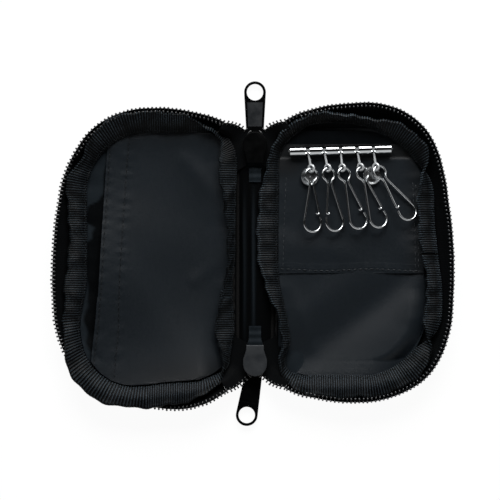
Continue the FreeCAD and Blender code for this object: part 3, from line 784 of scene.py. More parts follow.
def polished(name, node, material, sharp=32.0, edge=0.0):
    """A merged, smooth copy of a packed metal piece, with its edges rounded where a width is given."""
    shape = bmesh.new()
    shape.from_mesh(frame["nodes"][node].data)
    bmesh.ops.remove_doubles(shape, verts=shape.verts, dist=0.002 * MM)
    if edge:
        flat = math.radians(1.5)
        bmesh.ops.dissolve_limit(shape, angle_limit=flat, verts=shape.verts, edges=shape.edges)
    points = [vertex.co[:] for vertex in shape.verts]
    shape.verts.index_update()
    faces = [[vertex.index for vertex in face.verts] for face in shape.faces]
    shape.free()
    mesh = bpy.data.meshes.new(name)
    mesh.from_pydata(points, [], faces)
    mesh.shade_smooth()
    mesh.set_sharp_from_angle(angle=math.radians(sharp))
    mesh.materials.append(material)
    piece = add_object(name, mesh)
    if edge:
        bevel = piece.modifiers.new("edge", "BEVEL")
        bevel.width = edge * MM
        bevel.segments = 2
        bevel.limit_method = "ANGLE"
        bevel.angle_limit = math.radians(sharp)
        bevel.harden_normals = True
    return piece


# What carries a piece


def carried(piece, body, slot, *nodes):
    """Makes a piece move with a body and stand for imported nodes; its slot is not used."""
    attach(piece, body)
    if nodes:
        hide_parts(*nodes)


def bent(piece, side, span, slot, *nodes, level=0.0):
    """Bakes a piece's place into its mesh and hides the nodes it stands for; its side, span, slot and level
    are not used.
    """
    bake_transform(piece)
    if nodes:
        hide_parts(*nodes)


# Heights of the cloth
LINING_FLAT = 1.62


def tray(x, y):
    """Height of the lining: flat in the middle, drawn up and gathered towards the seam."""
    gap, place = from_seam(x, y)
    rise = np.exp(-((gap / 7.5) ** 2))
    pleats = np.sin(place * 0.31 + 1.4 * np.sin(place * 0.11)) + 0.6 * np.sin(place * 0.73 + 2.2)
    gathers = 0.13 * pleats * np.exp(-((gap / 7) ** 2))
    return LINING_FLAT + rise + gathers + ripples(x, y, 9.0, 0.08)


def drawn_out(side, x, y, z, climb=0.4):
    """Points of a half's cloth, pulled out and up where the ribbon's sewn edge lies outside the seam."""
    gap, place = from_seam(x, y)
    pull = np.maximum(0, around_half(SEWN_EDGE[side], place.ravel()).reshape(x.shape) + 1.1)
    pull *= (1 - smooth_step(0, 15, gap)) * smooth_step(14, 24, x)
    out = np.stack([x - HALF_MIDDLE, y * 0.9], -1)
    out = out / np.maximum(np.linalg.norm(out, axis=-1, keepdims=True), 1)
    return np.stack([x + out[..., 0] * pull, y + out[..., 1] * pull, z + climb * pull], -1)


def low_bed(x, y):
    """The lining's height without most of its rise to the seam at the lower end."""
    return LINING_FLAT + (tray(x, y) - LINING_FLAT) * (1 - 0.8 * smooth_step(20, 40, -y))


def puckers(along, across, width, height):
    """Small uneven waves that a row of stitches draws up on both its sides."""
    waves = np.sin(along * 1.45 + 0.9 * np.sin(along * 0.37)) + 0.7 * np.sin(along * 0.83 + 1.1)
    return height * waves * bulge(across / width)


def pocket_edge(y):
    """X of the left pocket's hem, drawn for the right half."""
    return np.interp(y, (-42.8, -19, 10, 42, 49), (62.8, 62.8, 61.2, 59.2, 58.0))


def pocket_height(x, y):
    """Height of the left pocket: gaping along its hem and swollen at its lower end."""
    gap = from_seam(x, y)[0]
    reach = smooth_step(22, 62, x)
    low_end = np.clip((-y - 2) / 47, 0, 1.1) ** 2.2
    lift = 3.3 * reach * bulge((y + 9) / 25) + 4.6 * low_end * (1 - 0.3 * reach)
    lift += ripples(x, y, 14.0, 0.2)
    lift += crease(x, y, (12, 20), (30, 40), 3.6, 0.35)
    lift += crease(x, y, (12, -2), (26, -12), 3.0, 0.3)
    by_spine = smooth_step(10, 24, x)
    by_seam = np.maximum(smooth_step(-1, 5, gap), smooth_step(20, 40, -y))
    return low_bed(x, y) + 0.45 + lift * by_seam * by_spine


def lower_height(x, y):
    """Height of the right half's lower fabric: swollen past a fold that runs down from its outer side."""
    past_fold = (64 - x) * -0.6 + (-11 - y) * 0.8
    lift = ripples(x, y, 12.0, 0.12)
    lift += 3.6 * smooth_step(-7, 22, past_fold) - 0.6 * bulge((past_fold + 2) / 6)
    lift += 0.5 * bulge((past_fold + 16) / 7)
    lift += crease(x, y, (14, -14), (24, -40), 3.4, 0.3)
    low_end = smooth_step(26, 44, -y) * (1 - smooth_step(46, 64, x))
    by_seam = np.maximum(smooth_step(0, 8, from_seam(x, y)[0]), low_end)
    return low_bed(x, y) + 0.5 + lift * by_seam


def key_panel_height(x, y):
    """Height of the key panel: over the lower fabric along its hem, and flatter beside the last hook."""
    bed = tray(x, y) * (0.55 + 0.45 * smooth_step(-16, 2, -y)) + 0.75 * smooth_step(-2, 16, y)
    lift = 1.05 + ripples(x, y, 13.0, 0.1)
    lift += crease(x, y, (12, 4), (40, 0), 4.0, 0.25)
    lift += crease(x, y, (50, 26), (62, -4), 3.4, 0.12)
    lift -= 0.35 * smooth_step(54, 60, x) * smooth_step(2, 10, y)
    return bed + lift


# Pieces
CLOTH_THICKNESS = 0.3
# Painted shade on the outer cloth's upper face along the spine
SPINE_PAINTED_SHADE = 1.1
FOLD_CLOTH_SPAN = (7.0, 8.9)


def spine_strip(node, columns, rows, drop, lift):
    """X, Y and height of a strip over a spine piece's packed box, arched across, and its flat size."""
    low, high = box_of(node)
    x = np.linspace(low.x, high.x, columns)[None, :]
    y = np.linspace(low.y, high.y, rows)[:, None]
    z = low.z + (high.z - low.z - drop) * (1 - (x / high.x) ** 2) + lift
    return x, y, z, ((high.x - low.x) * MM, (high.y - low.y) * MM)


def outer_half(side):
    """Outer cloth of a half, rounded along its edges, with a slightly uneven back."""
    x, y = half_grid(0.05)
    gap = from_seam(x, y)[0]
    top = PANEL_TOP - 0.05 - 0.5 * bulge(gap / 0.8)
    bottom = 0.02 + 0.45 * bulge(gap / 0.9) + 0.05 * (1 + ripples(x, y, 10.0, 1.0))
    grid = mirrored(as_grid(x, y, top), side)
    piece = cloth(side + "_outer_cloth", grid, top - bottom, finish("outer_canvas"))
    mark_painted_light(piece, SPINE_PAINTED_SHADE * (1 - smooth_step(10, 12, x)), 0)
    carried(piece, side + "_half", "outer_fabric", side + "_outer_panel")


def outer_spine():
    """Outer strip of the spine."""
    x, y, z, flat = spine_strip("spine_panel", 30, 90, 0.9, 0.85)
    grid = as_grid(x, y, z)
    piece = cloth("spine_outer_cloth", grid, 0.8, finish("outer_canvas"))
    mark_painted_light(piece, np.full(grid.shape[:2], SPINE_PAINTED_SHADE), 0)
    carried(piece, "spine", "outer_fabric", "spine_panel")


def fold_line(side):
    """Narrow cloth between the spine and a half, which bends as the half folds up."""
    x = np.linspace(6.9, 9.0, 12)[None, :]
    y = np.linspace(-36.5, 36.5, 74)[:, None]
    grid = mirrored(as_grid(x, y, 0.75 + 0.12 * np.sin(y * 1.3)), side)
    # The fold takes the tape's darker finish as painted shade, where it shows beside the spine
    piece = cloth(side + "_fold_cloth", grid, 0.4, finish("zip_tape_knit"))
    bent(piece, side, FOLD_CLOTH_SPAN, "outer_fabric")


class KEYCASE_OT_outer_cloth(bpy.types.Operator):
    """Outer cloth of both halves, the spine's outer strip and the two fold lines"""
    bl_idname = "keycase.outer_cloth"
    bl_label = "Outer cloth"

    def execute(self, context):
        for side in SIGN:
            outer_half(side)
        outer_spine()
        for side in SIGN:
            fold_line(side)
        return {"FINISHED"}


# Width of the painted shadow in the slit beside the left pocket's hem, at each Y
SLIT_Y = (-42, -36, -30, -24, -18, -10, -2, 4, 6.5, 10.5, 12.5, 19, 21.5, 24, 30, 34)
SLIT_SHADOW_WIDTH = (0.6, 1.0, 2.4, 4.2, 3.6, 4.8, 6.4, 6.4, 3.4, 3.4, 6.4, 6.6, 2.2, 0.8, 0.6, 0.6)


def lining_painted_shade(side, x, y):
    """Painted shade in the slit under the left pocket's hem, on the strip along the spine and on the lining
    above the key panel.
    """
    along_spine = 1 - smooth_step(11, 14, x)
    if side == "right":
        return np.maximum(along_spine, 0.85 * smooth_step(26, 38, y))
    width = np.interp(y, SLIT_Y, SLIT_SHADOW_WIDTH)
    past = x - pocket_edge(y) + ripples(x, y, 3.0, 0.8)
    return np.maximum(along_spine, 1 - smooth_step(width - 0.7, width + 0.7, past))


class KEYCASE_OT_linings(bpy.types.Operator):
    """Lining of both halves, drawn up to the seam in small gathers"""
    bl_idname = "keycase.linings"
    bl_label = "Linings"

    def execute(self, context):
        material = finish("lining_taffeta")
        for side in SIGN:
            x, y = half_grid(0.7)
            z = tray(x, y)
            grid = mirrored(drawn_out(side, x, y, z) if side == "left" else as_grid(x, y, z), side)
            piece = cloth(side + "_lining_cloth", grid, CLOTH_THICKNESS, material, lining_painted_shade(side, x, y))
            carried(piece, side + "_half", "lining_fabric", side + "_lining")
        return {"FINISHED"}


PANEL_INSET = 1.4
PANEL_END = 48.6
PANEL_COLUMNS = 110
# How far the left pocket's two rows of stitches lie inside its hem
POCKET_STITCHES = (1.1, 8.3)
POCKET_CLIMB = 0.15


def panel_grid(y, limit=np.inf):
    """X and Y of a grid over a half's inner panel, at rows of Y and up to a limit of X."""
    near, far = half_span(y, PANEL_INSET)
    return spread(y, near, np.minimum(far, limit), PANEL_COLUMNS)


class KEYCASE_OT_left_pocket(bpy.types.Operator):
    """Slip pocket of the left half, hemmed and gaping along its outer edge"""
    bl_idname = "keycase.left_pocket"
    bl_label = "Left pocket"

    def execute(self, context):
        y = np.linspace(-PANEL_END, PANEL_END, 150)
        x, y = panel_grid(y, pocket_edge(y))
        inside = pocket_edge(y) - x
        by_edge, by_fold = [inside - row for row in POCKET_STITCHES]
        hem = 1 - smooth_step(8.2, 8.7, inside)
        groove = bulge(by_edge / 0.35) + bulge(by_fold / 0.4)
        z = pocket_height(x, y) + 0.16 * hem - 0.12 * groove * hem - 0.18 * bulge(inside / 0.7)
        z += puckers(y, by_fold, 2.4, 0.05) + puckers(y + 20, by_edge, 2.0, 0.05)
        # Painted shade: darker towards the lower end, and along the grooves of both rows of stitches in the
        # hem
        deep = 0.6 * smooth_step(38, 48, -y) * (1 - 0.6 * smooth_step(28, 58, x))
        deep = np.maximum(deep, 0.4 * groove * hem)
        grid = mirrored(drawn_out("left", x, y, z, POCKET_CLIMB), "left")
        thickness = CLOTH_THICKNESS + 0.35 * hem
        piece = cloth("left_pocket_cloth", grid, thickness, finish("pocket_satin"), deep)
        carried(piece, "left_half", "lining_fabric", "left_pocket")
        return {"FINISHED"}


KEY_PANEL_LOW = -7.7
KEY_PANEL_TOP = 44.0
# How far above the key panel's edge its hem is sewn
KEY_PANEL_STITCH = 1.4


def key_panel_wave(x):
    """How far the key panel's hem wanders along its edge."""
    return 0.35 * np.sin(x * 0.17)


def lower_fabric():
    """Fabric of the right half below the key panel."""
    x, y = panel_grid(np.linspace(-PANEL_END, -1.5, 90))
    grid = as_grid(x, y, lower_height(x, y))
    piece = cloth("right_lower_cloth", grid, CLOTH_THICKNESS, finish("pocket_satin"))
    carried(piece, "right_half", "lining_fabric", "right_pocket")


def key_panel():
    """Panel under the key rail, hemmed below, with a step down along its upper seam."""
    hem_rows = np.linspace(KEY_PANEL_LOW, KEY_PANEL_LOW + 5, 26)
    x, y = panel_grid(np.concatenate([hem_rows, np.linspace(KEY_PANEL_LOW + 5.4, KEY_PANEL_TOP, 90)]))
    above = y - KEY_PANEL_LOW - key_panel_wave(x)
    by_stitch = above - KEY_PANEL_STITCH
    hem = 1 - smooth_step(3.6, 4.2, above)
    z = key_panel_height(x, y) + 0.03 * hem - 0.07 * bulge(by_stitch / 0.35) - 0.15 * bulge(above / 0.7)
    z += puckers(x, by_stitch, 1.8, 0.05) + puckers(y + 9, x - 63.8, 2.4, 0.05)
    z -= 0.3 * smooth_step(38.0, 38.7, y)
    # Painted shade above the step along the upper seam, towards the outer side, and in the upper corner by
    # the spine
    deep = 0.85 * smooth_step(38.0, 38.6, y) + 0.5 * smooth_step(58, 65, x)
    deep = np.maximum(deep, 0.75 * smooth_step(28, 35, y) * (1 - smooth_step(13, 22, x)))
    thickness = CLOTH_THICKNESS + 0.2 * hem
    piece = cloth("key_panel_cloth", as_grid(x, y, z), thickness, finish("pocket_satin"), deep)
    carried(piece, "right_half", "lining_fabric", "key_panel")


class KEYCASE_OT_right_fabric(bpy.types.Operator):
    """Lower fabric of the right half and the key panel whose hem covers its upper edge"""
    bl_idname = "keycase.right_fabric"
    bl_label = "Lower fabric and key panel"

    def execute(self, context):
        lower_fabric()
        key_panel()
        return {"FINISHED"}


# Shares of the ribbon's width, from its sewn foot to its free edge, and its half thickness at each
BAND_SHARES = np.array((0, 0.12, 0.26, 0.4, 0.54, 0.68, 0.8, 0.9, 0.97, 1.0))
BAND_LIFTS = np.array((0.22, 0.22, 0.22, 0.22, 0.22, 0.22, 0.24, 0.42, 0.6, 0.42))
RIBBON_JOIN = {"left": LOOP - 17.0, "right": LOOP / 2}
RIBBON_OVERLAP = 3.2
# Distances from the spine's middle between which the ribbon bends when a half folds up
FOLD_SPAN = {"left": (6.4, 10.4), "right": (1.0, 9.4)}
BINDING_STITCH = (0.9 * MM, 0.8 * MM, 0.26 * MM)


def round_stations(place, before, first, last, after):
    """1 between two stations round the seam, fading to 0 at a station before and one after them."""
    rise = smooth_step(STATIONS[before], STATIONS[first], place)
    return rise * (1 - smooth_step(STATIONS[last], STATIONS[after], place))


def ribbon_painted_light(side, distance):
    """Painted shade of the ribbon: in patches, along its lower outer half, in corners and in a fold; and
    painted highlight on its edges there and by the spine.
    """
    shares = BAND_SHARES[None, :]
    place = np.mod(distance, LOOP)[:, None]
    patches = np.sin(place * 0.31 + 2 * shares) + np.sin(place * 0.77 + 5 * shares + 1)
    patches += 0.6 * np.sin(place * 1.9)
    deep = 0.3 + 0.45 * smooth_step(0.0, 1.6, patches)
    below = round_stations(place, 25, 27, 33, 35)
    deep = np.maximum(deep * (1 - below), 0.55 * below * smooth_step(0.45, 0.8, shares))
    free_edge = bulge((shares - 0.93) / 0.09)
    if side == "left":
        corner = round_stations(place, 3, 5, 8, 11)
        deep = np.maximum(deep, 0.85 * corner * (1 - smooth_step(0.5, 0.9, shares)))
        return deep - 0.5 * corner * free_edge
    corner = round_stations(place, 3, 6, 12, 15)
    beside = round_stations(place, 15, 18, 23, 25)
    by_spine = 1 - smooth_step(STATIONS[5], STATIONS[8], np.minimum(place, LOOP - place))
    deep = np.maximum(deep, 0.85 * beside * bulge((shares - 0.42) / 0.17))
    deep = np.maximum(deep, 0.45 * by_spine)
    deep = np.maximum(deep, 0.92 * corner * (1 - smooth_step(0.4, 0.85, shares)))
    edges = free_edge + bulge((shares - 0.06) / 0.09) * beside
    return deep - 1.1 * np.maximum(np.maximum(corner, beside), by_spine) * edges


def ribbon_sections(side):
    """Sections of the ribbed ribbon, from its sewn foot to the roll along its free edge.
    With them come the run of its weave and its painted shade and highlight values."""
    pitch = sizes().rib_pitch / MM
    run = np.arange(0, LOOP + RIBBON_OVERLAP, pitch / 5)
    distance = run + RIBBON_JOIN[side]
    points, out = seam(distance)
    edge = around_half(FREE_EDGE[side], distance)
    edge += 0.35 * np.sin(distance * 0.47) + 0.2 * np.sin(distance * 1.13)
    top = around_half(FREE_HEIGHT[side], distance) + 0.15 * np.sin(distance * 0.61 + 1)
    sewn = around_half(SEWN_EDGE[side], distance)[:, None]
    sewn_height = around_half(SEWN_HEIGHT[side], distance)[:, None]
    lean_out = edge[:, None] - sewn
    lean_up = top[:, None] - sewn_height
    length = np.hypot(lean_out, lean_up)
    lapped = smooth_step(LOOP - 1.0, LOOP + 0.4, run)[:, None]
    woven_run = distance + 0.08 * pitch * np.sin(distance * 0.19)
    wave = sizes().rib_height / MM * np.sin(2 * math.pi * woven_run / pitch)[:, None]
    belly = 0.3 * np.sin(distance * 0.41) + 0.2 * np.sin(distance * 0.93)
    belly = 0.5 + 0.9 * smooth_step(3, 8, lean_out) + belly[:, None]
    level = sewn_height + lean_up * BAND_SHARES + belly * np.sin(math.pi * BAND_SHARES ** 0.85)
    faces = []
    for sign in (1, -1):
        lift = sign * (BAND_LIFTS + wave) + 0.62 * lapped
        along_out = sewn + lean_out * BAND_SHARES - lift * lean_up / length
        along_up = level + lift * lean_out / length
        ground = points[:, None, :] + out[:, None, :] * along_out[..., None]
        faces.append(lifted(ground, along_up))
    sections = mirrored(np.concatenate([faces[0], faces[1][:, ::-1]], 1), side)
    return sections, woven_run, ribbon_painted_light(side, distance)


def sewn_line(sections):
    """Zigzag over the ribbon's sewn foot, on whichever of its faces is uppermost."""
    front, back = sections[:, (0, 1)], sections[:, (-1, -2)]
    upper = np.where((front[:, 1, 2] > back[:, 1, 2])[:, None, None], front, back)[::4]
    zigzag = np.where(np.arange(len(upper)) % 2, 0.35, 1.15)[:, None]
    return upper[:, 0] + (upper[:, 1] - upper[:, 0]) * zigzag + np.array((0, 0, 0.08))


class KEYCASE_OT_bindings(bpy.types.Operator):
    """Ribbed binding round each half, flopping over the spine on the right"""
    bl_idname = "keycase.bindings"
    bl_label = "Bindings"

    def execute(self, context):
        thread = finish("binding_thread")
        for side in SIGN:
            sections, run, deep = ribbon_sections(side)
            ribbon = loft(side + "_binding_ribbon", sections, finish("ribbed_ribbon"), run)
            mark_painted_light(ribbon, deep)
            bent(ribbon, side, FOLD_SPAN[side], "binding_ribbon", side + "_binding")
            line = sewn_line(sections)
            row = repeated(side + "_binding_stitches", [line], "stitch", *BINDING_STITCH, thread)
            bent(row, side, FOLD_SPAN[side], "binding_ribbon")
        return {"FINISHED"}


def rim_line(side, distance):
    """Line of the teeth along the zip wall, tucked down under the ribbon, and the way they point."""
    points, out = seam(distance)
    edge = along_wall(RIM_EDGE[side], distance)
    cover = around_half(FREE_EDGE[side], distance)
    drop = np.clip(cover - edge + 1.2, 0, 1.6)
    ground = points + out * edge[:, None]
    height = RIM_TOP - 0.85 - drop + 0.18 * np.sin(distance * 0.5) * np.sin(distance * 0.17)
    return lifted(ground, height), unit(lifted(out, along_wall(TOOTH_RISE[side], distance)))


WALL_SHARES = np.array((0, 0.2, 0.4, 0.6, 0.78, 0.92, 1.02))
# Value on the painted light and wear attribute of the tape's outer face, which light and handling have greyed
WALL_WEAR = -3.0
# The limp tapes: where their feet turn off the corner and end, and where they bend as a half folds up
ZIP_END_LAST_ANGLE = math.radians(154)
ZIP_END_FOOT = 32.5
STRIP_SPAN = (4.5, 13)
STRIP_LEVEL = 48
# The inner turns of the coil, seen where its rows stand up
TURN_LENGTH = 1.5 * MM
TURN_WIDTH = 0.66 * MM
WALL_NYLON = {"left": "coil_nylon", "right": "pale_coil_nylon"}


def wall_sections(side):
    """Closed sections of the zip tape, from the seam to its toothed edge, bowed between them."""
    distance = np.arange(WALL_STATIONS[0], WALL_STATIONS[-1], 0.7)
    points, out = seam(distance)
    rim = rim_line(side, distance)[0]
    level_out = lifted(out, 0.0)
    foot = lifted(points + out * 0.45, 1.0)
    lean = rim - foot
    bow = 0.9 * np.sin(math.pi * WALL_SHARES)
    inner = foot[:, None, :] + lean[:, None, :] * WALL_SHARES[None, :, None]
    inner += level_out[:, None, :] * bow[None, :, None]
    along = unit(lean)
    across = unit(np.cross(along, np.cross(level_out, along)))
    outer = inner + across[:, None, :] * 0.5
    turned_in = inner[:, :1] - level_out[:, None, :] * 1.3 + np.array((0, 0, 0.75))
    under = turned_in - np.array((0, 0, 0.4))
    return mirrored(np.concatenate([turned_in, inner, outer[:, ::-1], under], 1), side)


def zip_end_edges(side, end):
    """Seam edge and toothed edge of the limp tape, from a wall's end to its slider's mouth and through it.
    The last value counts the points as far as the mouth."""
    flip = FLIP[end]
    last = SEAM_ENDS[0] + (math.pi - ZIP_END_LAST_ANGLE) * SPINE_CORNER
    share = np.linspace(0, 1, 26)
    through = np.linspace(0, 1, 17)[1:]
    before = WALL_STATIONS[0] + (last - WALL_STATIONS[0]) * share
    points, out = seam(np.concatenate([before, last + (ZIP_END_FOOT - last) * through]))
    points[:, 1] *= flip
    out[:, 1] *= flip
    rise = np.concatenate([1.75 + share, np.full(len(through), 2.75)])
    foot = lifted(points - out * 0.85, rise)
    start = rim_line(side, WALL_STATIONS[[0 if end == "top" else -1]])[0][0]
    low, high = box_of(end + "_slider")
    mouth_y = max(abs(low.y), abs(high.y)) - 0.2
    rear_y = min(abs(low.y), abs(high.y)) + 0.2
    middle_z = (low.z + high.z) / 2
    rim = start + (np.array((2.4, flip * mouth_y, middle_z)) - start) * share[:, None]
    rim[:, 1] += flip * 1.1 * np.sin(math.pi * share)
    rim[:, 2] += 0.5 * np.sin(2 * math.pi * share)
    inside_x = np.interp(through, (0, 0.35, 0.6, 1), (2.4, 2.3, 1.6, 1.0))
    inside_y = flip * (mouth_y + (rear_y - mouth_y) * through)
    return foot, np.concatenate([rim, as_grid(inside_x, inside_y, middle_z)]), len(share)


def tooth_row(name, side, line, outward, nylon, length=None, width=None):
    """A row of teeth on a line that is drawn for the right half."""
    group = sizes()
    size = (group.tooth_pitch, length or group.tooth_length, width or group.tooth_width)
    lines, directions = [mirrored(line, side)], [mirrored(outward, side)]
    return repeated(name, lines, "tooth", *size, finish(nylon), directions)


def shade_flat_row(row):
    """Gives the teeth that lie flat along the left side the darker copy of the nylon, as painted shade."""
    row.data.materials.append(finish("dull_coil_nylon"))
    for face in row.data.polygons:
        if face.center.x < -50 * MM and face.center.y < 20 * MM:
            face.material_index = 1


def zip_wall(side):
    """Tape round a half, its teeth, and the coil's inner turns."""
    body = side + "_half"
    sections = wall_sections(side)
    wall = loft(side + "_zip_wall", sections, finish("zip_tape_knit"))
    mark_painted_light(wall, np.zeros((len(sections), sections.shape[1] // 2)), WALL_WEAR)
    carried(wall, body, "zip_tape", side + "_zip_tape")
    distance = np.arange(WALL_STATIONS[0], WALL_STATIONS[-1], 0.8)
    line, outward = rim_line(side, distance)
    row = tooth_row(side + "_coil", side, line, outward, WALL_NYLON[side])
    if side == "left":
        shade_flat_row(row)
    carried(row, body, "zip_coil", side + "_zip_teeth")
    across = unit(outward * np.array((1, 1, 0)))
    shown = along_wall(TOOTH_RISE[side], distance) > 0.45
    inner = (line - across * 1.25 + np.array((0, 0, 0.35)))[shown][1:]
    steep = (across * 0.5 + np.array((0, 0, 0.87)))[shown][1:]
    turns = tooth_row(side + "_coil_turns", side, inner, steep, WALL_NYLON[side], TURN_LENGTH, TURN_WIDTH)
    carried(turns, body, "zip_coil")


def zip_strip(side, end):
    """Limp tape from a wall's end through its slider, with teeth as far as the slider's mouth."""
    name = side + "_" + end
    foot, rim, toothed = zip_end_edges(side, end)
    lean = (rim - foot)[:, None, :]
    shares = np.linspace(0, 1, 13)
    grid = foot[:, None, :] + lean * shares[None, :, None]
    grid[..., 2] = foot[:, None, 2] + lean[..., 2] * smooth_step(0, 0.55, shares)
    strip = cloth(name + "_zip_strip", mirrored(grid, side), 0.45, finish("zip_tape_knit"))
    outward = unit((rim - foot)[:toothed] * np.array((1, 1, 0)))
    row = tooth_row(name + "_strip_coil", side, rim[:toothed], outward, "coil_nylon")
    level = FLIP[end] * STRIP_LEVEL
    bent(strip, side, STRIP_SPAN, "zip_tape", name + "_zip_end", level=level)
    bent(row, side, STRIP_SPAN, "zip_coil", level=level)


class KEYCASE_OT_zip(bpy.types.Operator):
    """Zip tapes with their coil teeth, round each half and on to the sliders"""
    bl_idname = "keycase.zip"
    bl_label = "Zip tapes and teeth"

    def execute(self, context):
        for side in SIGN:
            zip_wall(side)
            for end in FLIP:
                zip_strip(side, end)
        return {"FINISHED"}


def spine_lining():
    """Lining of the spine, darkened as painted shade but for the tops of its two folds."""
    x, y, z, flat = spine_strip("spine_lining", 64, 120, 0.35, 0.3)
    middle = np.exp(-((y + 5) / 26) ** 4)
    z = z + 0.75 * bulge((x + 4.6 + 0.3 * np.sin(y * 0.13)) / 0.9) * middle
    z = z + 0.7 * bulge((x + 0.8 + 0.3 * np.sin(y * 0.11 + 1)) / 0.8) * middle
    ridge = 0.5 * bulge((x + 4.2) / 0.7) + 0.95 * bulge((x + 0.6) / 0.7)
    material = finish("lining_taffeta")
    piece = cloth("spine_lining_cloth", as_grid(x, y, z), CLOTH_THICKNESS, material, 1.06 - ridge * middle)
    carried(piece, "spine", "lining_fabric", "spine_lining")


def tape_tab(end):
    """Folded tape end behind a slider, a little wider where it goes under it."""
    node = end + "_end_tab"
    low, high = box_of(node)
    inner_y, outer_y = (low.y, high.y + 2.2) if end == "top" else (high.y, low.y - 2.2)
    share = np.linspace(0, 1, 40)[:, None]
    x = np.linspace(-1, 1, 20)[None, :] * (2.4 + 0.6 * smooth_step(0.5, 0.8, share))
    y = inner_y + (outer_y - inner_y) * share
    z = high.z - 0.25 + 0.25 * np.cos(x * 1.5) * (1 - share) + 0.12 * np.sin(y * 2.1)
    piece = cloth(end + "_tape_tab", as_grid(x, y, z), 0.6, finish("lining_taffeta"))
    carried(piece, "spine", "zip_tape", node)


class KEYCASE_OT_spine(bpy.types.Operator):
    """Lining of the spine with its lengthwise folds, and the folded tape ends behind the sliders"""
    bl_idname = "keycase.spine"
    bl_label = "Spine lining and tape ends"

    def execute(self, context):
        spine_lining()
        for end in FLIP:
            tape_tab(end)
        return {"FINISHED"}


# Top ends of the left pocket's two rows of stitches, and the key panel's rows along its sides
POCKET_STITCH_TOPS = (41.5, 46.5)
KEY_PANEL_SIDES = (
    ((12.4, 30), (11.6, 10), (11.2, -5)),
    ((64.4, 27), (65.2, 10), (65.4, -5)),
    ((63.2, 28), (64.0, 10), (64.2, -5)),
)


def on_surface(points, height, lift):
    """Line of a seam through a few points, set on a cloth's height."""
    points = np.array(points, float)
    gaps = run_along(points)
    even = np.arange(0, gaps[-1], 0.8)
    x = np.interp(even, gaps, points[:, 0])
    y = np.interp(even, gaps, points[:, 1])
    return as_grid(x, y, height(x, y) + lift)


class KEYCASE_OT_stitches(bpy.types.Operator):
    """Rows of stitches along the hems and panel seams of both halves"""
    bl_idname = "keycase.stitches"
    bl_label = "Stitches"

    def execute(self, context):
        group = sizes()
        stitch = (group.stitch_pitch, group.stitch_length, group.thread_width)
        left_lines = []
        for inside, top_y in zip(POCKET_STITCHES, POCKET_STITCH_TOPS):
            points = [(pocket_edge(y) - inside, y) for y in np.linspace(top_y, -44, 9)]
            line = on_surface(points, pocket_height, 0.16)
            line = drawn_out("left", line[:, :1], line[:, 1:2], line[:, 2:], POCKET_CLIMB)[:, 0]
            left_lines.append(mirrored(line, "left"))
        hem = [(x, KEY_PANEL_LOW + KEY_PANEL_STITCH + key_panel_wave(x)) for x in range(11, 66, 3)]
        right_lines = [on_surface(hem, key_panel_height, 0.14)]
        for points in KEY_PANEL_SIDES:
            right_lines.append(on_surface(points, key_panel_height, 0.1))
        for side, lines, thread in (
            ("left", left_lines, "binding_thread"), ("right", right_lines, "sewing_thread")
        ):
            row = repeated(side + "_stitches", lines, "stitch", *stitch, finish(thread))
            carried(row, side + "_half", "lining_fabric")
        return {"FINISHED"}


PULL_FACE_SHIFT = 1.3 * MM
SLIDER_EDGE = 0.1
# Paint of each end's slider and pull, in lit and shaded copies as painted light
PAINTS = {
    "top": ("black_painted_metal", "satin_painted_metal"),
    "bottom": ("rubbed_painted_metal", "black_painted_metal"),
}


def darken_border(pull):
    """Draws the pull's sunk face on to its ring, and gives its border and sides the darker copy of the paint,
    as painted shade.
    """
    mesh = pull.data
    mesh.materials.append(finish("black_painted_metal"))
    top = max(vertex.co.z for vertex in mesh.vertices)
    level = [face for face in mesh.polygons if face.normal.z > 0.9]
    sunk = [face for face in level if 0.1 * MM < top - face.center.z < 0.5 * MM]
    end = max(mesh.vertices[index].co.y for face in sunk for index in face.vertices)
    for vertex in mesh.vertices:
        if abs(vertex.co.y - end) < 0.01 * MM:
            vertex.co.y += PULL_FACE_SHIFT
    kept = {face.index for face in sunk}
    for face in mesh.polygons:
        face.material_index = 0 if face.index in kept else 1


class KEYCASE_OT_sliders(bpy.types.Operator):
    """Both zip sliders and their pulls"""
    bl_idname = "keycase.sliders"
    bl_label = "Sliders and pulls"

    def execute(self, context):
        for end, (slider_paint, pull_paint) in PAINTS.items():
            slider = polished(end + "_slider_body", end + "_slider", finish(slider_paint), edge=SLIDER_EDGE)
            carried(slider, end + "_slider", "black_metal", end + "_slider")
            pull = polished(end + "_pull", end + "_pull_tab", finish(pull_paint), edge=SLIDER_EDGE)
            if end == "top":
                darken_border(pull)
            carried(pull, end + "_pull", "black_metal", end + "_pull_tab")
        return {"FINISHED"}


LINK_PLATING = 0.1 * MM
COLLAR_SHADE = 1.2 * MM
COLLAR_END = 2.3 * MM


def finish_link(link):
    """Gives a link's collar, in the bar's slot, the rod's darkened finish as painted shade, and the wire
    beyond it thicker plating.
    """
    mesh = link.data
    mesh.materials.append(finish("dark_rod"))
    rear = max(vertex.co.y for vertex in mesh.vertices)
    for face in mesh.polygons:
        if face.center.y > rear - COLLAR_SHADE:
            face.material_index = 1
    outward = [normal.vector.copy() for normal in mesh.vertex_normals]
    for vertex, normal in zip(mesh.vertices, outward):
        if vertex.co.y < rear - COLLAR_END:
            vertex.co += normal * LINK_PLATING


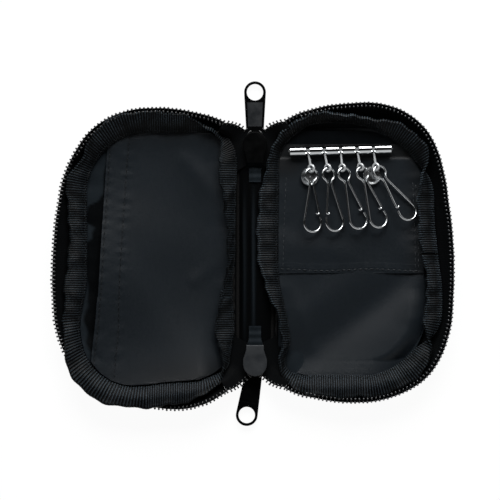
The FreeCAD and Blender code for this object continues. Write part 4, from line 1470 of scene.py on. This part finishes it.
class KEYCASE_OT_key_rail(bpy.types.Operator):
    """Key bar, its rod, the links and the wire hooks"""
    bl_idname = "keycase.key_rail"
    bl_label = "Key rail"

    def execute(self, context):
        for node, plate, slot in (("key_bar", "plated_bar", "chrome"), ("key_rod", "dark_rod", "steel")):
            piece = polished(node + "_plated", node, finish(plate))
            carried(piece, frame["nodes"][node]["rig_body"], slot, node)
        for key in range(1, 6):
            for kind, plate in (("link", "cloudy_nickel"), ("hook", "plated_wire")):
                node = f"key_{kind}_{key}"
                piece = polished(f"{kind}_{key}_wire", node, finish(plate), sharp=50)
                if kind == "link":
                    finish_link(piece)
                carried(piece, f"{kind}_{key}", "steel", node)
        return {"FINISHED"}


# Radius and height of a disc's rings, from its middle to its rim, and the discs' places under the hooks
DISC_RINGS = (
    (0.0, 0.1), (0.6, 0.32), (1.1, 0.1), (1.7, 0.36), (2.3, 0.1), (2.9, 0.32), (3.45, 0.45), (3.75, 0.12)
)
DISC_UNDER = -0.1
DISC_LEVEL = 3.75
DISC_TILT = -0.2
DISC_PLACES = {1: (22.0, 31.0), 5: (46.9, 31.4)}


class KEYCASE_OT_discs(bpy.types.Operator):
    """Thin ringed discs that lie under the heads of the first and last hook"""
    bl_idname = "keycase.discs"
    bl_label = "Discs"

    def execute(self, context):
        around = np.linspace(0, 2 * math.pi, 49)[:-1]
        rings = DISC_RINGS + tuple((radius, DISC_UNDER) for radius, _ in reversed(DISC_RINGS))
        radius, height = np.array(rings).T[..., None]
        x, y = radius * np.cos(around), radius * np.sin(around)
        faces = ring_faces(len(rings), len(around))
        for key, (centre_x, centre_y) in DISC_PLACES.items():
            points = as_grid(centre_x + x, centre_y + y, DISC_LEVEL + DISC_TILT * x + height).reshape(-1, 3)
            piece = new_piece(f"disc_{key}", points, faces, finish("brushed_plate"))
            carried(piece, f"hook_{key}", "steel")
        return {"FINISHED"}


FLOOR_REACH = 3.0
FLOOR_LEVEL = -0.0001
FLOOR_GLOW = 0.955
FLOOR_PAPER = 0.07
# Brightness of the sky from the horizon up to straight above, and its share in mirrors and elsewhere
SKY_STOPS = ((0.0, 1.0), (0.35, 1.0), (0.72, 0.95), (0.86, 0.6), (0.93, 0.1), (1.0, 0.03))
SKY_MIRRORED = 0.8
SKY_ELSEWHERE = 0.13
LAMP_SIZE = (0.9, 0.5)
LAMP_PLACE = (0.05, 0.86, 0.6)


def lay_floor():
    """White floor that glows for the camera and in mirrors, and throws little light on the case."""
    mesh = bpy.data.meshes.new("floor")
    signs = ((-1, -1), (1, -1), (1, 1), (-1, 1))
    mesh.from_pydata([(x * FLOOR_REACH, y * FLOOR_REACH, FLOOR_LEVEL) for x, y in signs], [], [(0, 1, 2, 3)])
    floor = add_object("floor", mesh)
    material = bpy.data.materials.new("white_table")
    material.use_nodes = True
    material.node_tree.nodes.clear()
    graph = Graph(material.node_tree)
    rays = graph.add("ShaderNodeLightPath").outputs
    seen = graph.math("MAXIMUM", rays["Is Camera Ray"], rays["Is Glossy Ray"])
    seen = graph.math("MAXIMUM", seen, rays["Is Transmission Ray"])
    strength = graph.math("MULTIPLY", seen, FLOOR_GLOW)
    glow = graph.add("ShaderNodeEmission", {"Color": (1, 1, 1, 1), "Strength": strength}).outputs[0]
    grey = (FLOOR_PAPER, FLOOR_PAPER, FLOOR_PAPER, 1)
    paper = graph.add("ShaderNodeBsdfDiffuse", {"Color": grey}).outputs[0]
    both = graph.add("ShaderNodeAddShader", {0: glow, 1: paper}).outputs[0]
    graph.add("ShaderNodeOutputMaterial", {"Surface": both})
    mesh.materials.append(material)


def light_sky(scene, strength):
    """Sky that is bright low down beyond both ends of the case, and shows mostly in mirrors."""
    world = bpy.data.worlds.new("soft_sky")
    scene.world = world
    world.use_nodes = True
    graph = Graph(world.node_tree)
    direction = graph.add("ShaderNodeTexCoord").outputs["Generated"]
    axes = graph.add("ShaderNodeSeparateXYZ", {0: direction}).outputs
    ends = graph.ranged(graph.math("ABSOLUTE", axes["Y"]), 0.2, 0.5, 0.03, 1.0)
    ramp = graph.add("ShaderNodeValToRGB", {"Fac": axes["Z"]})
    elements = ramp.color_ramp.elements
    while len(elements) < len(SKY_STOPS):
        elements.new(0.5)
    for element, (place, value) in zip(elements, SKY_STOPS):
        element.position = place
        element.color = (value, value, value, 1)
    mirrors = graph.add("ShaderNodeLightPath").outputs["Is Glossy Ray"]
    share = graph.math("MULTIPLY_ADD", mirrors, SKY_MIRRORED, SKY_ELSEWHERE)
    graph.give(world.node_tree.nodes["Background"], {
        "Color": graph.scaled_vector(ramp.outputs[0], ends),
        "Strength": graph.math("MULTIPLY", share, strength),
    })


class KEYCASE_OT_stage(bpy.types.Operator):
    """Floor, soft light, sky and camera"""
    bl_idname = "keycase.stage"
    bl_label = "Stage"

    def execute(self, context):
        scene = context.scene
        stage = scene.key_case_stage
        centre = Vector(stage.centre)
        lay_floor()
        light_sky(scene, stage.sky)
        light = bpy.data.lights.new("softbox", "AREA")
        light.shape = "RECTANGLE"
        light.size, light.size_y = LAMP_SIZE
        light.energy = stage.softbox
        lamp = add_object("softbox", light)
        lamp.location = centre + Vector(LAMP_PLACE)
        lamp.rotation_euler = (centre - lamp.location).to_track_quat("-Z", "Y").to_euler()
        lens = bpy.data.cameras.new("camera")
        lens.lens = stage.lens
        lens.sensor_width = 36
        lens.clip_start = 0.01
        scene.camera = add_object("camera", lens)
        scene.camera.location = centre + Vector((0, 0, stage.height))
        scene.view_settings.view_transform = "Standard"
        return {"FINISHED"}


OPERATORS = (
    KEYCASE_OT_stage,
    KEYCASE_OT_outer_cloth,
    KEYCASE_OT_linings,
    KEYCASE_OT_left_pocket,
    KEYCASE_OT_right_fabric,
    KEYCASE_OT_bindings,
    KEYCASE_OT_zip,
    KEYCASE_OT_spine,
    KEYCASE_OT_stitches,
    KEYCASE_OT_sliders,
    KEYCASE_OT_key_rail,
    KEYCASE_OT_discs,
)
GROUPS = {
    "key_case_sizes": KeyCaseSizes,
    "key_case_colours": KeyCaseColours,
    "key_case_stage": KeyCaseStage,
}


class KEYCASE_PT_pieces(bpy.types.Panel):
    """Sizes, colours and the pieces in the order they are made"""
    bl_idname = "KEYCASE_PT_pieces"
    bl_label = "Key case"
    bl_space_type = "VIEW_3D"
    bl_region_type = "UI"
    bl_category = "Key case"

    def draw(self, context):
        for name in GROUPS:
            group = getattr(context.scene, name)
            box = self.layout.box()
            for value in group.__annotations__:
                box.prop(group, value)
        for operator in OPERATORS:
            self.layout.operator(operator.bl_idname)


def register():
    for name, group in GROUPS.items():
        bpy.utils.register_class(group)
        setattr(bpy.types.Scene, name, bpy.props.PointerProperty(type=group))
    for operator in OPERATORS:
        bpy.utils.register_class(operator)
    bpy.utils.register_class(KEYCASE_PT_pieces)


def unregister():
    bpy.utils.unregister_class(KEYCASE_PT_pieces)
    for operator in reversed(OPERATORS):
        bpy.utils.unregister_class(operator)
    for name, group in GROUPS.items():
        delattr(bpy.types.Scene, name)
        bpy.utils.unregister_class(group)


def main():
    register()
    for operator in OPERATORS:
        family, name = operator.bl_idname.split(".")
        getattr(getattr(bpy.ops, family), name)()


if __name__ == "__main__":
    main()
